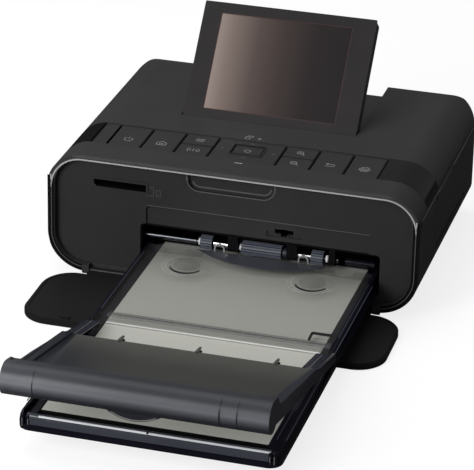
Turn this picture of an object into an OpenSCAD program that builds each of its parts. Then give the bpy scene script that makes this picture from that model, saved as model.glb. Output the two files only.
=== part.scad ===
// Compact photo printer with its paper cassette in the mouth, its front door lying open and its
// screen tilted up. Millimetres, +Z up, +X to the right and +Y to the back. The origin lies on the
// table, under the middle of the whole object.

/* [Body] */
// Width of the body
body_w = 181.8; // [177:0.1:190]
// Depth of the body
body_d = 135.9; // [134:0.1:146]
// Height of the top surface above the table
body_h = 62; // [61.5:0.1:66]
// Height of the rubber feet below the case
foot_h = 2; // [1.8:0.1:2.6]
// Height of the seam between the lower case and the top cover
seam_h = 50.5; // [49.8:0.1:51.5]
// Radius of the two long lower edges
low_r = 19.5; // [18:0.5:21]
// Radius of the two long upper edges
top_r = 17.5; // [15:0.5:18.5]
// Radius of the two front corners, seen from above
front_r = 2; // [1:0.5:3]
// Radius of the two rear corners, seen from above
rear_r = 12; // [8:0.5:13]
// Softening of the top cover's front edge
edge_r = 1.2; // [0.6:0.1:2]
// Radius of the top cover's rear edge
back_r = 4.8; // [3:0.1:5.2]
// Wall of the lower case and the top cover
case_wall = 2.4; // [2:0.1:2.8]
// Diameter of a rubber foot
foot_d = 12; // [9:0.5:13]

/* [Front] */
// Width of the rim round the front
rim_w = 3.7; // [3.2:0.1:4.2]
// Height of the lip over the front, with the bright trim on it
top_lip = 2.3; // [2:0.1:2.8]
// Height of the bright trim strip
trim_h = 1.3; // [0.8:0.1:1.6]
// Set-back of the trim strip from the top surface
trim_drop = 0.9; // [0.6:0.1:1.1]
// Depth of the trim strip
trim_t = 1.2; // [0.8:0.1:1.6]
// Set-back of the front panel behind the rim
panel_set = 3; // [2.8:0.1:3.6]
// Thickness of the front panel
panel_t = 3; // [2.6:0.1:3.4]
// Width of the finger recess at the top of the front panel
grip_w = 43; // [36:1:48]
// Height of the finger recess below the lip
grip_h = 9.3; // [7:0.1:11]
// Depth of the finger recess
grip_t = 1.8; // [1.2:0.1:2]
// Distance of the memory card slot from the left side
card_in = 22.6; // [22:0.1:25]
// Width of the memory card slot
card_w = 25.9; // [25:0.1:27]
// Height of the memory card slot
card_h = 3.7; // [3.2:0.1:4.2]
// Middle of the memory card slot above the table
card_z = 48.2; // [47.6:0.1:48.6]
// Height of the ledge above the mouth
ledge_z = 39.3; // [37.5:0.1:41]
// Step of the ledge
ledge_t = 1; // [0.6:0.1:1.4]

/* [Mouth and front door] */
// Middle of the mouth and the cassette, to the right of the body's middle
feed_x = 13.3; // [12.5:0.1:14]
// Underside of the mouth's lintel above the table
mouth_z = 30; // [28.5:0.1:31]
// Thickness of the front door
door_t = 2.6; // [2.2:0.1:2.8]
// Height of the front door above the table where it lies
door_lift = 1.3; // [1.2:0.1:1.6]
// Diameter of the front door's hinge barrel
door_barrel = 3.4; // [3.2:0.1:3.6]
// Diameter of the front door's hinge pins
door_pin = 1.5; // [1.2:0.1:1.7]
// Height of the front door's hinge axis
door_axis_z = 2.35; // [2.3:0.05:2.6]
// Set-back of the front door's hinge axis
door_axis_y = 0.9; // [0.7:0.1:1.2]
// Half width of the front door's tongue between the hinge ears
tongue_half = 69.5; // [66:0.1:70]
// Near edge of the front door's wings, in front of the body
wing_y = 5.8; // [4:0.1:6.5]
// Lean of the lying front door towards the table
door_lean = 1.2; // [0.8:0.1:1.2]

/* [Screen] */
// Width of the screen
screen_w = 87.2; // [84:0.1:90]
// Height of the screen
screen_l = 60.3; // [57:0.1:62]
// Thickness of the screen
screen_t = 6.4; // [6:0.1:6.6]
// Hinge axis of the screen behind the front of the body
screen_y = 67.9; // [66.5:0.1:69]
// Tilt of the screen in the photographed position
screen_tilt = 50.9; // [40:0.1:58]
// Width of the picture on the screen
picture_w = 66.5; // [60:0.1:70]
// Height of the picture on the screen
picture_l = 50.6; // [46:0.1:52]
// Bottom of the picture above the screen's lower edge
picture_s = 4.6; // [3.6:0.1:5]
// Depth of the screen's recess in the top cover
recess_t = 7; // [6.9:0.1:7.3]
// Diameter of the screen's hinge pins
screen_pin = 2; // [1.6:0.1:2.4]

/* [Keys] */
// Middle of the row of keys, from the body's middle
keys_x = -1; // [-2:0.1:0]
// Pitch of the keys
key_pitch = 16.6; // [16:0.05:16.8]
// Front edge of the row of keys
keys_y0 = 18.2; // [17:0.1:19]
// Depth of the row of keys
keys_d = 25; // [24:0.1:26]
// Gap between two keys
key_gap = 0.9; // [0.7:0.05:1.1]
// Depth of the key tops below the top surface
key_drop = 0.4; // [0.3:0.05:0.6]
// Thickness of a key cap
key_t = 2; // [1.8:0.1:2.2]
// Diameter of a key's stem
key_stem = 3; // [2.6:0.1:3.4]
// Travel of a key
key_travel = 0.45; // [0.3:0.01:0.5]
// Width of the OK key
ok_w = 13.6; // [12:0.1:14.5]
// Depth of the OK key
ok_d = 9.8; // [9:0.1:10.5]

/* [Cassette] */
// Width of the cassette
tray_w = 115.8; // [115:0.1:116.4]
// Front end of the cassette, in front of the body
tray_front = 172; // [168:0.5:174]
// Rear end of the cassette, inside the body
tray_rear = 19; // [18.6:0.1:20]
// Underside of the cassette above the table
tray_z = 10.4; // [10.2:0.1:10.8]
// Height of the cassette's runner rail
rail_h = 2.6; // [2.4:0.1:2.7]
// Height of the cassette's side walls above its underside
tray_h = 7.6; // [7.4:0.1:7.8]
// Set-back of the side walls from the runner rail
wall_set = 1.6; // [1.5:0.05:1.8]
// Wall of the cassette
tray_wall = 1.4; // [1.2:0.1:1.6]
// Corner radius of the cassette's front, seen from above
tray_r = 6; // [4:0.5:6]
// Width of the paper
paper_w = 100; // [98:0.5:101]
// Length of the paper with its tear-off ends
paper_l = 178; // [174:0.5:178]
// Height of the paper stack
paper_t = 3.2; // [2:0.1:3.3]
// Thickness of the plate under the paper
plate_t = 0.5; // [0.4:0.1:0.6]
// Front edge of the inner lid, in front of the body
lid_front = 75; // [72:0.5:75.5]
// Depth of the inner lid's sloping front edge
lid_slope = 3.6; // [2:0.1:4]
// Rear edge of the inner lid, behind the front of the body
lid_back = 6.4; // [2.6:0.1:6.5]
// Thickness of the inner lid
lid_t = 1.4; // [1.2:0.1:1.6]

/* [Outer cover] */
// Hinge axis of the outer cover in front of the body
cover_y = 79; // [78:0.1:80]
// Hinge axis of the outer cover above the cassette's underside
cover_z = 6.1; // [6:0.1:6.3]
// Tilt of the outer cover in the photographed position
cover_tilt = 12.5; // [10.5:0.1:16]
// Distance from the hinge axis to the middle of the curled lip
curl_reach = 107.9; // [105:0.1:110]
// Height of the curled lip's middle above the hinge axis
curl_rise = 1.6; // [1.2:0.1:2.4]
// Outer radius of the curled lip
curl_r = 7.2; // [6.6:0.1:7.6]
// Thickness of the outer cover
cover_t = 1.4; // [1.2:0.1:1.6]
// Distance from the hinge axis to the cover plate's rear edge
plate_reach = 33.5; // [28:0.5:35]
// Diameter of the outer cover's hinge pins
cover_pin = 2.4; // [2:0.1:2.6]

/* [Paper feed] */
// Feed shaft behind the front of the body
feed_y = 10; // [9.6:0.1:10.4]
// Feed shaft above the table
feed_z = 21.4; // [21.3:0.1:21.7]
// Diameter of the feed shaft
feed_d = 3; // [2.6:0.1:3.2]
// Diameter of the feed rollers
roller_d = 6.8; // [6:0.1:6.9]
// Length of the wide feed roller in the middle
roller_mid = 19.5; // [16:0.5:22]
// Length of the two narrow feed rollers
roller_side = 5.8; // [4.5:0.1:7]
// Distance of the narrow rollers from the wide one's middle
roller_gap = 27.2; // [26.6:0.1:28]

/* [Print works] */
// Module of the gears
gear_m = 0.8; // [0.8:0.05:0.82]
// Teeth of the feed gear
feed_n = 12; // [12:1:12]
// Teeth of the platen gear
platen_n = 24; // [23:1:25]
// Teeth of the two idler gears
idler_n = 30; // [30:1:31]
// Teeth of the motor's pinion
pinion_n = 12; // [10:1:12]
// Face width of the gears
gear_w = 3; // [2.6:0.1:3.2]
// Play between the gears' teeth, in degrees on the smallest gear
gear_play = 1.1; // [0.8:0.1:1.6]
// Platen shaft behind the front of the body
platen_y = 70; // [69.6:0.1:70.4]
// Platen shaft above the table
platen_z = 21.8; // [21.4:0.1:22]
// Diameter of the platen roller
platen_d = 14; // [12:0.5:15]
// Capstan shaft behind the front of the body
capstan_y = 110; // [108:0.5:111]
// Diameter of the capstan roller
capstan_d = 8; // [7:0.5:8.5]
// Diameter of the drive motor
motor_d = 18; // [16:0.5:18.5]
// Thickness of the two frame plates
frame_t = 1.4; // [1:0.1:1.5]

/* [Ink cartridge] */
// Height of the cartridge's two spools above the table
spool_z = 37; // [36.6:0.1:37.4]
// Distance of each spool from the platen's axis
spool_y = 23; // [22:0.5:24]
// Diameter of the cartridge's two spool housings
spool_case = 21; // [19:0.5:21.5]
// Diameter of a full spool
spool_d = 15; // [12:0.5:16]
// Gap between the cartridge's grip and the right side wall
cart_gap = 4.1; // [3.6:0.1:5]
// Height of the ink door's hinge axis
ink_axis_z = 23.4; // [23.2:0.1:23.8]
// Front edge of the ink door
ink_y0 = 36; // [35:0.5:38]
// Rear edge of the ink door
ink_y1 = 104; // [102:0.5:105]
// Diameter of the ink door's hinge barrel
ink_barrel = 3; // [2.8:0.1:3.2]

/* [Rear] */
// Height of the paper slot in the back
slot_h = 5; // [4.6:0.1:5.6]
// Diameter of the power inlet
inlet_d = 6; // [5:0.1:6.5]

/* [Fits] */
// Radial clearance of a running fit
run_fit = 0.05; // [0.03:0.01:0.08]
// Clearance between a moving piece and its surroundings
move_gap = 0.4; // [0.3:0.05:0.5]
// Clearance between two fixed pieces that meet on curved faces
seat_gap = 0.15; // [0.1:0.01:0.2]

/* [Hidden] */
$fn = 72;
lap = 1;
half_w = body_w / 2;
soft = [0.13, 0.13, 0.14];

// Front opening inside the rim
open_half = half_w - rim_w;
open_low = foot_h + rim_w;
open_top = body_h - top_lip;
open_low_r = low_r - rim_w;
open_top_r = top_r - rim_w;
panel_y0 = panel_set;
card_x = card_in - half_w;
panel_y1 = panel_set + panel_t;
inner_y1 = body_d - case_wall;
floor_z = foot_h + case_wall;
roof_z = body_h - case_wall;

// Cassette and mouth
tray_x0 = feed_x - tray_w / 2;
tray_x1 = feed_x + tray_w / 2;
tray_top = tray_z + tray_h;
tray_floor = tray_z + tray_wall;
wall_x0 = tray_x0 + wall_set;
wall_x1 = tray_x1 - wall_set;
bay_x0 = wall_x0 + tray_wall;
bay_x1 = wall_x1 - tray_wall;
mouth_gap = 0.6;
mouth_x0 = tray_x0 - mouth_gap;
mouth_x1 = tray_x1 + mouth_gap;
mouth_low = tray_z - mouth_gap;
paper_z0 = tray_floor + plate_t;
paper_z1 = paper_z0 + paper_t;
paper_y0 = tray_rear - tray_wall - 1 - paper_l;
paper_gap = 0.5;
ledge_x0 = feed_x - paper_w / 2 - paper_gap;
ledge_x1 = feed_x + paper_w / 2 + paper_gap;
lid_z1 = tray_top + 0.3;
lid_z0 = lid_z1 - lid_t;
ledge_top = paper_z1 + 0.2;

// Outer cover, seen in its closed position from its hinge axis
cover_axis_z = tray_z + cover_z;
cover_low = tray_top + 0.3 - cover_axis_z;
cover_top = cover_low + cover_t;
cheek_low = tray_z + rail_h + 0.5 - cover_axis_z;
cheek_t = wall_set - 0.3;
arm_r = cover_pin / 2 + run_fit + 1.1;
curl_in = curl_r - cover_t;
tab_h = 3.4;
tab_r = (12 * 12 + tab_h * tab_h) / (2 * tab_h);

// Reach of the whole object along Y, and the shift that puts its middle over the origin
front_most = cover_y + curl_reach * cos(cover_tilt) - curl_rise * sin(cover_tilt) + curl_r;
centre_shift = (front_most - body_d) / 2;

// Screen, seen flat from its hinge axis
screen_half = screen_w / 2;
screen_s0 = 0.3;
screen_s1 = screen_s0 + screen_l;
screen_top = screen_t / 2;
screen_z = body_h - 0.1 - screen_top;
recess_half = screen_half + 0.5;
recess_y0 = screen_y - screen_top - 0.5;
recess_z = body_h - recess_t;
tub_t = 2;

// Keys: left edges count in pitches from the row's left end
row_x0 = keys_x - 4 * key_pitch;
row_x1 = keys_x + 4 * key_pitch;
keys_y1 = keys_y0 + keys_d;
keys_mid = (keys_y0 + keys_y1) / 2;
key_z1 = body_h - key_drop;
key_z0 = key_z1 - key_t;
blank_w = 8;
band_x0 = row_x0 - blank_w - key_gap;
deck_z1 = key_z0 - key_travel - 0.4;
deck_t = 1.4;
deck_z0 = deck_z1 - deck_t;
deck_edge = 2.2;
stem_z0 = deck_z0 - 1.6;
dome_gap = 0.05;
dome_z1 = stem_z0 - key_travel - dome_gap;
board_z1 = dome_z1 - 0.6;
board_z0 = board_z1 - 1.6;

// Drive gears: feed gear, two idlers and platen gear in a shallow arch, and the pinion above
frame_x0 = mouth_x0 - 1.4 - 0.2 - frame_t;
frame_x1 = mouth_x1 + 1.4 + 0.2;
gear_x1 = frame_x0 - 0.6;
gear_x0 = gear_x1 - gear_w;
plate_x1 = gear_x0 - 1;
plate_x0 = plate_x1 - frame_t;
board_x0 = 10.9 - half_w;
board_x1 = plate_x0 - 2.8;
idler_rp = gear_m * idler_n / 2;
pinion_rp = gear_m * pinion_n / 2;
feed_leg = gear_m * feed_n / 2 + idler_rp;
platen_leg = gear_m * platen_n / 2 + idler_rp;
span_y = platen_y - feed_y;
span_z = platen_z - feed_z;
span = norm([span_y, span_z]);
span_turn = atan2(span_z, span_y);
free_run = span - 2 * idler_rp;
feed_run = (free_run + (feed_leg * feed_leg - platen_leg * platen_leg) / free_run) / 2;
leg_rise = sqrt(feed_leg * feed_leg - feed_run * feed_run);
feed_turn = span_turn + atan2(leg_rise, feed_run);
platen_turn = span_turn - atan2(leg_rise, free_run - feed_run);
idler_a = [feed_y, feed_z] + feed_leg * [cos(feed_turn), sin(feed_turn)];
idler_b = idler_a + 2 * idler_rp * [cos(span_turn), sin(span_turn)];
pinion_turn = 90;
motor_at = idler_b + (idler_rp + pinion_rp) * [cos(pinion_turn), sin(pinion_turn)];
feed_phase = 0;
idler_a_phase = mesh_phase(feed_phase, feed_n, idler_n, feed_turn);
idler_b_phase = mesh_phase(idler_a_phase, idler_n, idler_n, span_turn);
platen_phase = mesh_phase(idler_b_phase, idler_n, platen_n, platen_turn);
pinion_phase = mesh_phase(idler_b_phase, idler_n, pinion_n, pinion_turn);

// Print works
path_z = platen_z + platen_d / 2;
film_z = path_z + 0.3;
capstan_z = path_z - capstan_d / 2;
spool_ys = [platen_y - spool_y, platen_y + spool_y];
ink_x = half_w - ink_barrel / 2;
ink_top = seam_h - 1;

// Phase of gear B, so that its gaps take gear A's teeth along a line at the angle turn
function mesh_phase(phase_a, n_a, n_b, turn) =
    let (slip = (turn - phase_a) * n_a / 360) turn + 180 - (0.5 - slip) * 360 / n_b;

// Involute of an angle, in degrees
function involute(a) = tan(a) * 180 / PI - a;

// Half the angle that a tooth takes up at radius r
function tooth_half(r, n) =
    let (rb = gear_m * n / 2 * cos(20))
    90 / n - gear_play * pinion_n / n / 2 + involute(20) - (r > rb ? involute(acos(rb / r)) : 0);

// Outline of a spur gear with n involute teeth
function gear_outline(n) =
    let (rp = gear_m * n / 2, radii = [rp - 1.2 * gear_m, rp - 0.45 * gear_m, rp, rp + 0.45 * gear_m,
        rp + 0.85 * gear_m])
    [for (i = [0:n - 1]) each concat(
        [for (r = radii) let (a = i * 360 / n - tooth_half(r, n)) r * [cos(a), sin(a)]],
        [for (k = [len(radii) - 1:-1:0]) let (r = radii[k], a = i * 360 / n + tooth_half(r, n))
            r * [cos(a), sin(a)]])];

module place() {
    translate([0, centre_shift, 0]) children();
}

// Extrudes an X-Z outline from y0 to y1
module along_y(y0, y1) {
    translate([0, y1, 0]) rotate([90, 0, 0]) linear_extrude(y1 - y0) children();
}

// Extrudes a Y-Z outline from x0 to x1
module along_x(x0, x1) {
    translate([x0, 0, 0]) rotate([90, 0, 90]) linear_extrude(x1 - x0) children();
}

// Extrudes an X-Y outline from z0 to z1
module along_z(z0, z1) {
    translate([0, 0, z0]) linear_extrude(z1 - z0) children();
}

// Box between two corners
module block(low, high) {
    translate(low) cube(high - low);
}

// Round bar along X
module rod_x(x0, x1, y, z, d) {
    translate([x0, y, z]) rotate([0, 90, 0]) cylinder(h = x1 - x0, d = d);
}

// Round bar along Y
module rod_y(y0, y1, x, z, d) {
    translate([x, y1, z]) rotate([90, 0, 0]) cylinder(h = y1 - y0, d = d);
}

// Rectangle with one radius for its two lower corners and one for its two upper corners
module round_rect(low, high, r_low, r_high) {
    translate(low + [0, r_low]) square([high[0] - low[0], high[1] - low[1] - r_low - r_high]);
    translate(low + [r_low, 0]) square([high[0] - low[0] - 2 * r_low, r_low + 0.01]);
    translate([low[0] + r_high, high[1] - r_high - 0.01])
        square([high[0] - low[0] - 2 * r_high, r_high + 0.01]);
    for (x = [low[0] + r_low, high[0] - r_low]) translate([x, low[1] + r_low]) circle(r_low);
    for (x = [low[0] + r_high, high[0] - r_high]) translate([x, high[1] - r_high]) circle(r_high);
}

// Front outline of the body, drawn in by inset
module body_outline(inset) {
    round_rect([inset - half_w, foot_h + inset], [half_w - inset, body_h - inset],
        low_r - inset, top_r - inset);
}

// Outline of the opening inside the rim, made smaller by gap
module opening_outline(gap) {
    round_rect([gap - open_half, open_low + gap], [open_half - gap, open_top - gap],
        open_low_r - gap, open_top_r - gap);
}

// The whole body as one solid, drawn in by inset on all sides
module body_solid(inset) {
    intersection() {
        along_y(inset, body_d - inset) body_outline(inset);
        along_z(foot_h, body_h) round_rect([inset - half_w, inset],
            [half_w - inset, body_d - inset], max(front_r - inset, 0.2), max(rear_r - inset, 0.2));
        along_x(-half_w, half_w) intersection() {
            round_rect([inset, 0], [body_d + 20, body_h - inset], 0.2, edge_r);
            round_rect([-20, 0], [body_d - inset, body_h - inset], 0.2, max(back_r - inset, 0.2));
        }
    }
}

// Space inside the body's walls, behind the front panel
module body_inside() {
    intersection() {
        along_y(panel_y1, inner_y1) body_outline(case_wall);
        along_z(foot_h, body_h) round_rect([case_wall - half_w, panel_y1],
            [half_w - case_wall, inner_y1], 0.2, rear_r - case_wall);
    }
}

screw_at = [for (x = [-1, 1], y = [11.2, 111.4]) [x * 81.2, y]];

module lower_case() {
    color([0.15, 0.15, 0.155]) place() difference() {
        union() {
            difference() {
                intersection() {
                    body_solid(0);
                    block([-half_w, 0, 0], [half_w, body_d, seam_h]);
                }
                body_inside();
                along_y(-lap, panel_y1 + 0.01) opening_outline(0);
            }
            intersection() {
                body_inside();
                for (at = screw_at) translate([at[0], at[1], 0]) cylinder(h = seam_h, d = 9);
            }
            for (side = [-1, 1]) intersection() {
                along_x(side * tongue_half + (side > 0 ? move_gap : -move_gap - 3.4),
                    side * tongue_half + (side > 0 ? move_gap + 3.4 : -move_gap)) {
                    translate([door_axis_y, door_axis_z]) circle(d = door_barrel);
                    translate([door_axis_y - door_barrel / 2, door_axis_z]) square([4, 3.4]);
                }
                block([-half_w, -lap, 0], [half_w, 4, open_low]);
            }
            block([-open_half + 6, panel_y1 + 0.01, foot_h + 0.5],
                [open_half - 6, panel_y1 + 1.2, open_low]);
        }
        // Notch for the front door's barrel
        block([-tongue_half - move_gap, -lap, 0],
            [tongue_half + move_gap, door_axis_y + door_barrel / 2 + move_gap, open_low + lap]);
        rod_x(-tongue_half - 3.2, tongue_half + 3.2, door_axis_y, door_axis_z, door_pin);
        // Screw holes
        for (at = screw_at) translate([at[0], at[1], 0]) {
            translate([0, 0, -lap]) cylinder(h = 38 + lap, d = 6.4);
            cylinder(h = body_h, d = 3.4);
        }
        // Foot recesses
        for (at = foot_at) translate([at[0], at[1], -lap]) cylinder(h = foot_h + 0.6 + lap,
            d = foot_d + 0.1);
        // Bores for the ink door's pins
        rod_y(ink_y0 - 2.6, ink_y1 + 2.6, ink_x, ink_axis_z, 1.4);
        // Ink bay in the right side
        block([half_w - 12, ink_y0, ink_axis_z - ink_barrel / 2 - 0.3],
            [half_w + lap, ink_y1, ink_top + 0.3]);
        // Paper slot in the back
        along_y(inner_y1 - lap, body_d + lap) round_rect([ledge_x0 - 3, path_z - slot_h / 2],
            [ledge_x1 + 3, path_z + slot_h / 2], 1, 1);
        // Power inlet and vents in the back
        rod_y(inner_y1 - lap, body_d + lap, inlet_at[0], inlet_at[1], inlet_d + 3);
        for (i = [0:5]) block([16.9 - half_w, inner_y1 - lap, 28 + i * 3],
            [40.9 - half_w, body_d + lap, 29.4 + i * 3]);
        for (i = [0:7]) block([-half_w - lap, 58 + i * 5, 30], [-half_w + case_wall + lap,
            60 + i * 5, 44]);
    }
}

inlet_at = [20.9 - half_w, 15];
foot_at = [for (x = [-1, 1], y = [18, 122]) [x * 73, y]];

module top_cover() {
    color([0.16, 0.16, 0.165]) place() difference() {
        union() {
            difference() {
                intersection() {
                    body_solid(0);
                    block([-half_w, 0, seam_h], [half_w, body_d, body_h]);
                }
                body_inside();
                along_y(-lap, panel_y1 + 0.01) opening_outline(0);
            }
            // Tub of the screen's recess
            block([-recess_half - tub_t, recess_y0 - tub_t, recess_z - tub_t],
                [recess_half + tub_t, body_d - 1.6, roof_z + 0.1]);
            for (side = [-1, 1]) rod_x(side * (recess_half + 1.8) - 1.8,
                side * (recess_half + 1.8) + 1.8, screen_y, screen_z, 5.6);
            // Lip behind the front panel's top edge
            block([-60, panel_y1 + 0.01, open_top - 2.4], [60, panel_y1 + 1.4, roof_z + 0.1]);
            // Bosses for the case screws
            intersection() {
                body_inside();
                for (at = screw_at) translate([at[0], at[1], seam_h]) cylinder(h = 12, d = 7);
            }
        }
        // The trim strip's seat
        trim_solid(0);
        // Screen recess, open to the back
        block([-recess_half, recess_y0, recess_z], [recess_half, body_d + lap, body_h + lap]);
        rod_x(-recess_half - 3.2, recess_half + 3.2, screen_y, screen_z, screen_pin);
        // Opening for the keys, round over the right edge
        block([band_x0 - seat_gap, keys_y0 - seat_gap, deck_z1],
            [row_x1 + lap, keys_y1 + seat_gap, body_h + lap]);
        block([row_x1, keys_y0 - seat_gap, seam_h - lap],
            [half_w + lap, keys_y1 + seat_gap, body_h + lap]);
        // Status lamp hole
        translate([keys_x, keys_y0 - 2.8, roof_z - lap]) linear_extrude(5) lamp_outline(0);
        // Screw pilots
        for (at = screw_at) translate([at[0], at[1], seam_h - lap]) cylinder(h = 5, d = 2.6);
        // Notch over the ink door's grip
        block([half_w - 1.4, 45, seam_h - lap], [half_w + lap, 75, seam_h + 1]);
    }
}

module trim_solid(gap) {
    intersection() {
        along_y(-lap, trim_t) difference() {
            body_outline(trim_drop + gap);
            body_outline(trim_drop + trim_h - gap);
        }
        block([-half_w, 0, seam_h], [half_w, trim_t, body_h]);
    }
}

module front_trim() {
    color([0.72, 0.72, 0.73]) place() trim_solid(0.02);
}

module lamp_outline(gap) {
    round_rect([gap - 2, gap - 0.45], [2 - gap, 0.45 - gap], 0.4 - gap, 0.4 - gap);
}

module status_lamp() {
    color([0.8, 0.85, 0.8]) place() translate([keys_x, keys_y0 - 2.8, roof_z - 0.4])
        linear_extrude(case_wall + 0.4 - 0.1) lamp_outline(0.03);
}

// Outline of the memory card slot, with its lower left corner cut off
module card_outline() {
    polygon([[card_x + 1.4, card_z - card_h / 2], [card_x + card_w, card_z - card_h / 2],
        [card_x + card_w, card_z + card_h / 2], [card_x, card_z + card_h / 2],
        [card_x, card_z - card_h / 2 + 1.4]]);
}

module front_panel() {
    color([0.14, 0.14, 0.145]) place() difference() {
        union() {
            along_y(panel_y0, panel_y1) opening_outline(seat_gap);
            // Rim round the card slot
            along_y(panel_y0 - 0.4, panel_y0 + 0.1) round_rect([card_x - 1.2, card_z - card_h / 2 - 1.2],
                [card_x + card_w + 1.2, card_z + card_h / 2 + 1.2], 0.8, 0.8);
        }
        // Mouth for the cassette
        along_y(-lap, panel_y1 + lap) {
            round_rect([mouth_x0, mouth_low], [mouth_x1, mouth_z], 0.6, 2);
            card_outline();
        }
        // Set-back strip between the ledge and the mouth
        along_y(-lap, panel_y0 + ledge_t) round_rect([mouth_x0 + 2.8, mouth_z - 3],
            [mouth_x1 - 5, ledge_z], 0.6, 1.6);
        // Finger recess under the lip
        along_y(-lap, panel_y0 + grip_t) {
            round_rect([-1 - grip_w / 2, open_top - grip_h], [-1 + grip_w / 2, body_h], 6, 0.2);
        }
        // Hollow behind the panel for the feed gear
        rod_x(gear_x0 - 1, gear_x1 + 1, feed_y, feed_z, 2 * gear_m * (feed_n / 2 + 1) + 1);
        // Window with the two tabs of the paper sensor
        along_y(-lap, panel_y1 + lap) {
            translate([20.6, 33.4]) square([9, 2.6]);
            translate([23.6, 32.2]) square([3, 4]);
        }
        for (x = [[16.6, 23], [27.4, 33.8]]) block([x[0], panel_y0, 32.1],
            [x[1], panel_y0 + ledge_t + 0.7, 34.6]);
    }
}

module mouth_guide() {
    color([0.1, 0.1, 0.105]) place() difference() {
        union() {
            // Lintel, side walls, floor and rear sill of the paper duct
            block([mouth_x0 - 1.4, panel_y1 + 0.1, mouth_z - 2], [mouth_x1 + 1.4, 17, mouth_z + 0.6]);
            for (x = [mouth_x0 - 1.4, mouth_x1]) block([x, panel_y1 + 1.4, floor_at(x + 1.4) + 0.02],
                [x + 1.4, 26, mouth_z + 0.6]);
            block([mouth_x0 - 1.4, panel_y1 + 1.4, tray_z - 2], [mouth_x1 + 1.4, 26, tray_z]);
            block([mouth_x0 - 1.4, 24, tray_z - lap], [mouth_x1 + 1.4, 26, tray_z + 4]);
            for (x = [[mouth_x0 - 0.1, tray_x0 - 0.3], [tray_x1 + 0.3, mouth_x1 + 0.1]])
                block([x[0], panel_y1 + 1.4, tray_z - 0.1], [x[1], 26, tray_z + rail_h]);
            // Blocks that hold the feed shaft, each with a round lower end
            for (x = hook_xs) along_x(x - 2.5, x + 2.5) {
                translate([feed_y, feed_z]) circle(r = 2.9);
                translate([feed_y - 2.9, feed_z]) square([5.8, mouth_z - feed_z - 1]);
            }
            // Bearing wall at the shaft's right end
            along_x(shaft_x1 - 3, shaft_x1) {
                translate([feed_y, feed_z]) circle(r = 2.9);
                translate([feed_y - 2.9, feed_z]) square([5.8, mouth_z - feed_z - 1]);
            }
            // Paper guide ribs under the lintel
            for (i = [0:3]) for (side = [-1, 1]) block([feed_x + side * (34 + i * 6) - 0.6, 12,
                mouth_z - 5 + i * 0.4], [feed_x + side * (34 + i * 6) + 0.6, 17, mouth_z - 1]);
        }
        rod_x(mouth_x0 - 3, mouth_x1 + 3, feed_y, feed_z, feed_d + 2 * run_fit);
    }
}

shaft_x1 = feed_x + 36;
hook_xs = [feed_x - 13.9, feed_x + 14.9];

// Outline of the front door's plate where it lies
module door_outline(gap) {
    round_rect([gap - open_half + 0.4, door_axis_y - door_l + gap], [open_half - 0.4 - gap,
        -wing_y - gap], 14 - gap, 15 - gap);
}

// Leans a piece that is drawn level about the front door's hinge axis
module on_door() {
    translate([0, door_axis_y, door_axis_z]) rotate([door_lean, 0, 0])
        translate([0, -door_axis_y, -door_axis_z]) children();
}

door_l = open_top - 0.3 - door_axis_z;
door_z0 = door_lift;
door_z1 = door_lift + door_t;

module front_door() {
    color([0.15, 0.15, 0.155]) place() on_door() difference() {
        union() {
            along_z(door_z0, door_z1 - 0.5) door_outline(0);
            along_z(door_z1 - 0.6, door_z1) door_outline(0.5);
            block([-tongue_half, -wing_y - 2, door_z0], [tongue_half, door_axis_y, door_z0 + 2]);
            rod_x(-tongue_half, tongue_half, door_axis_y, door_axis_z, door_barrel);
            // Raised rim along the inner face's edge
            along_z(door_z1 - 0.1, door_z1 + 0.3) difference() {
                door_outline(1);
                door_outline(2);
                translate([-tongue_half, -wing_y - 8]) square([2 * tongue_half, 12]);
            }
            // Two catch nubs near the free edge
            for (side = [-1, 1]) block([side * 64 - 2.4, door_axis_y - door_l + 3.2, door_z1 - 0.1],
                [side * 64 + 2.4, door_axis_y - door_l + 4.6, door_z1 + 1.1]);
        }
        // Shallow panel in the outer face, and the hinge bores
        for (side = [-1, 1]) rod_x(min(side * (tongue_half + lap), side * (tongue_half - 9)),
            max(side * (tongue_half + lap), side * (tongue_half - 9)), door_axis_y, door_axis_z,
            door_pin + 2 * run_fit);
        along_z(door_z1 - 0.5, door_z1 + lap) translate([-60, door_axis_y - door_l + 8])
            square([120, door_l - 22]);
    }
}

module door_pins() {
    color([0.7, 0.7, 0.7]) place() for (side = [-1, 1]) rod_x(
        min(side * (tongue_half + 3.2), side * (tongue_half - 8)),
        max(side * (tongue_half + 3.2), side * (tongue_half - 8)), door_axis_y, door_axis_z, door_pin);
}

module rubber_feet() {
    color([0.08, 0.08, 0.08]) place() for (at = foot_at) translate([at[0], at[1], 0]) {
        cylinder(h = 0.8, d1 = foot_d - 1.6, d2 = foot_d);
        translate([0, 0, 0.8]) cylinder(h = foot_h - 0.2, d = foot_d);
    }
}

module case_screws() {
    color([0.7, 0.7, 0.72]) place() for (at = screw_at) translate([at[0], at[1], 0]) {
        difference() {
            translate([0, 0, 35.6]) cylinder(h = 2.4, d = 5.6);
            translate([-2, -0.4, 35.6 - lap]) cube([4, 0.8, lap + 1]);
            translate([-0.4, -2, 35.6 - lap]) cube([0.8, 4, lap + 1]);
        }
        translate([0, 0, 37.9]) cylinder(h = 15.6, d = 2.6);
    }
}

// Places a piece that is drawn flat from the screen's hinge axis
module on_screen() {
    place() translate([0, screen_y, screen_z]) rotate([screen_tilt, 0, 0]) children();
}

module screen_outline(inset) {
    round_rect([inset - screen_half, screen_s0 + inset], [screen_half - inset, screen_s1 - inset],
        2, 2);
}

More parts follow.
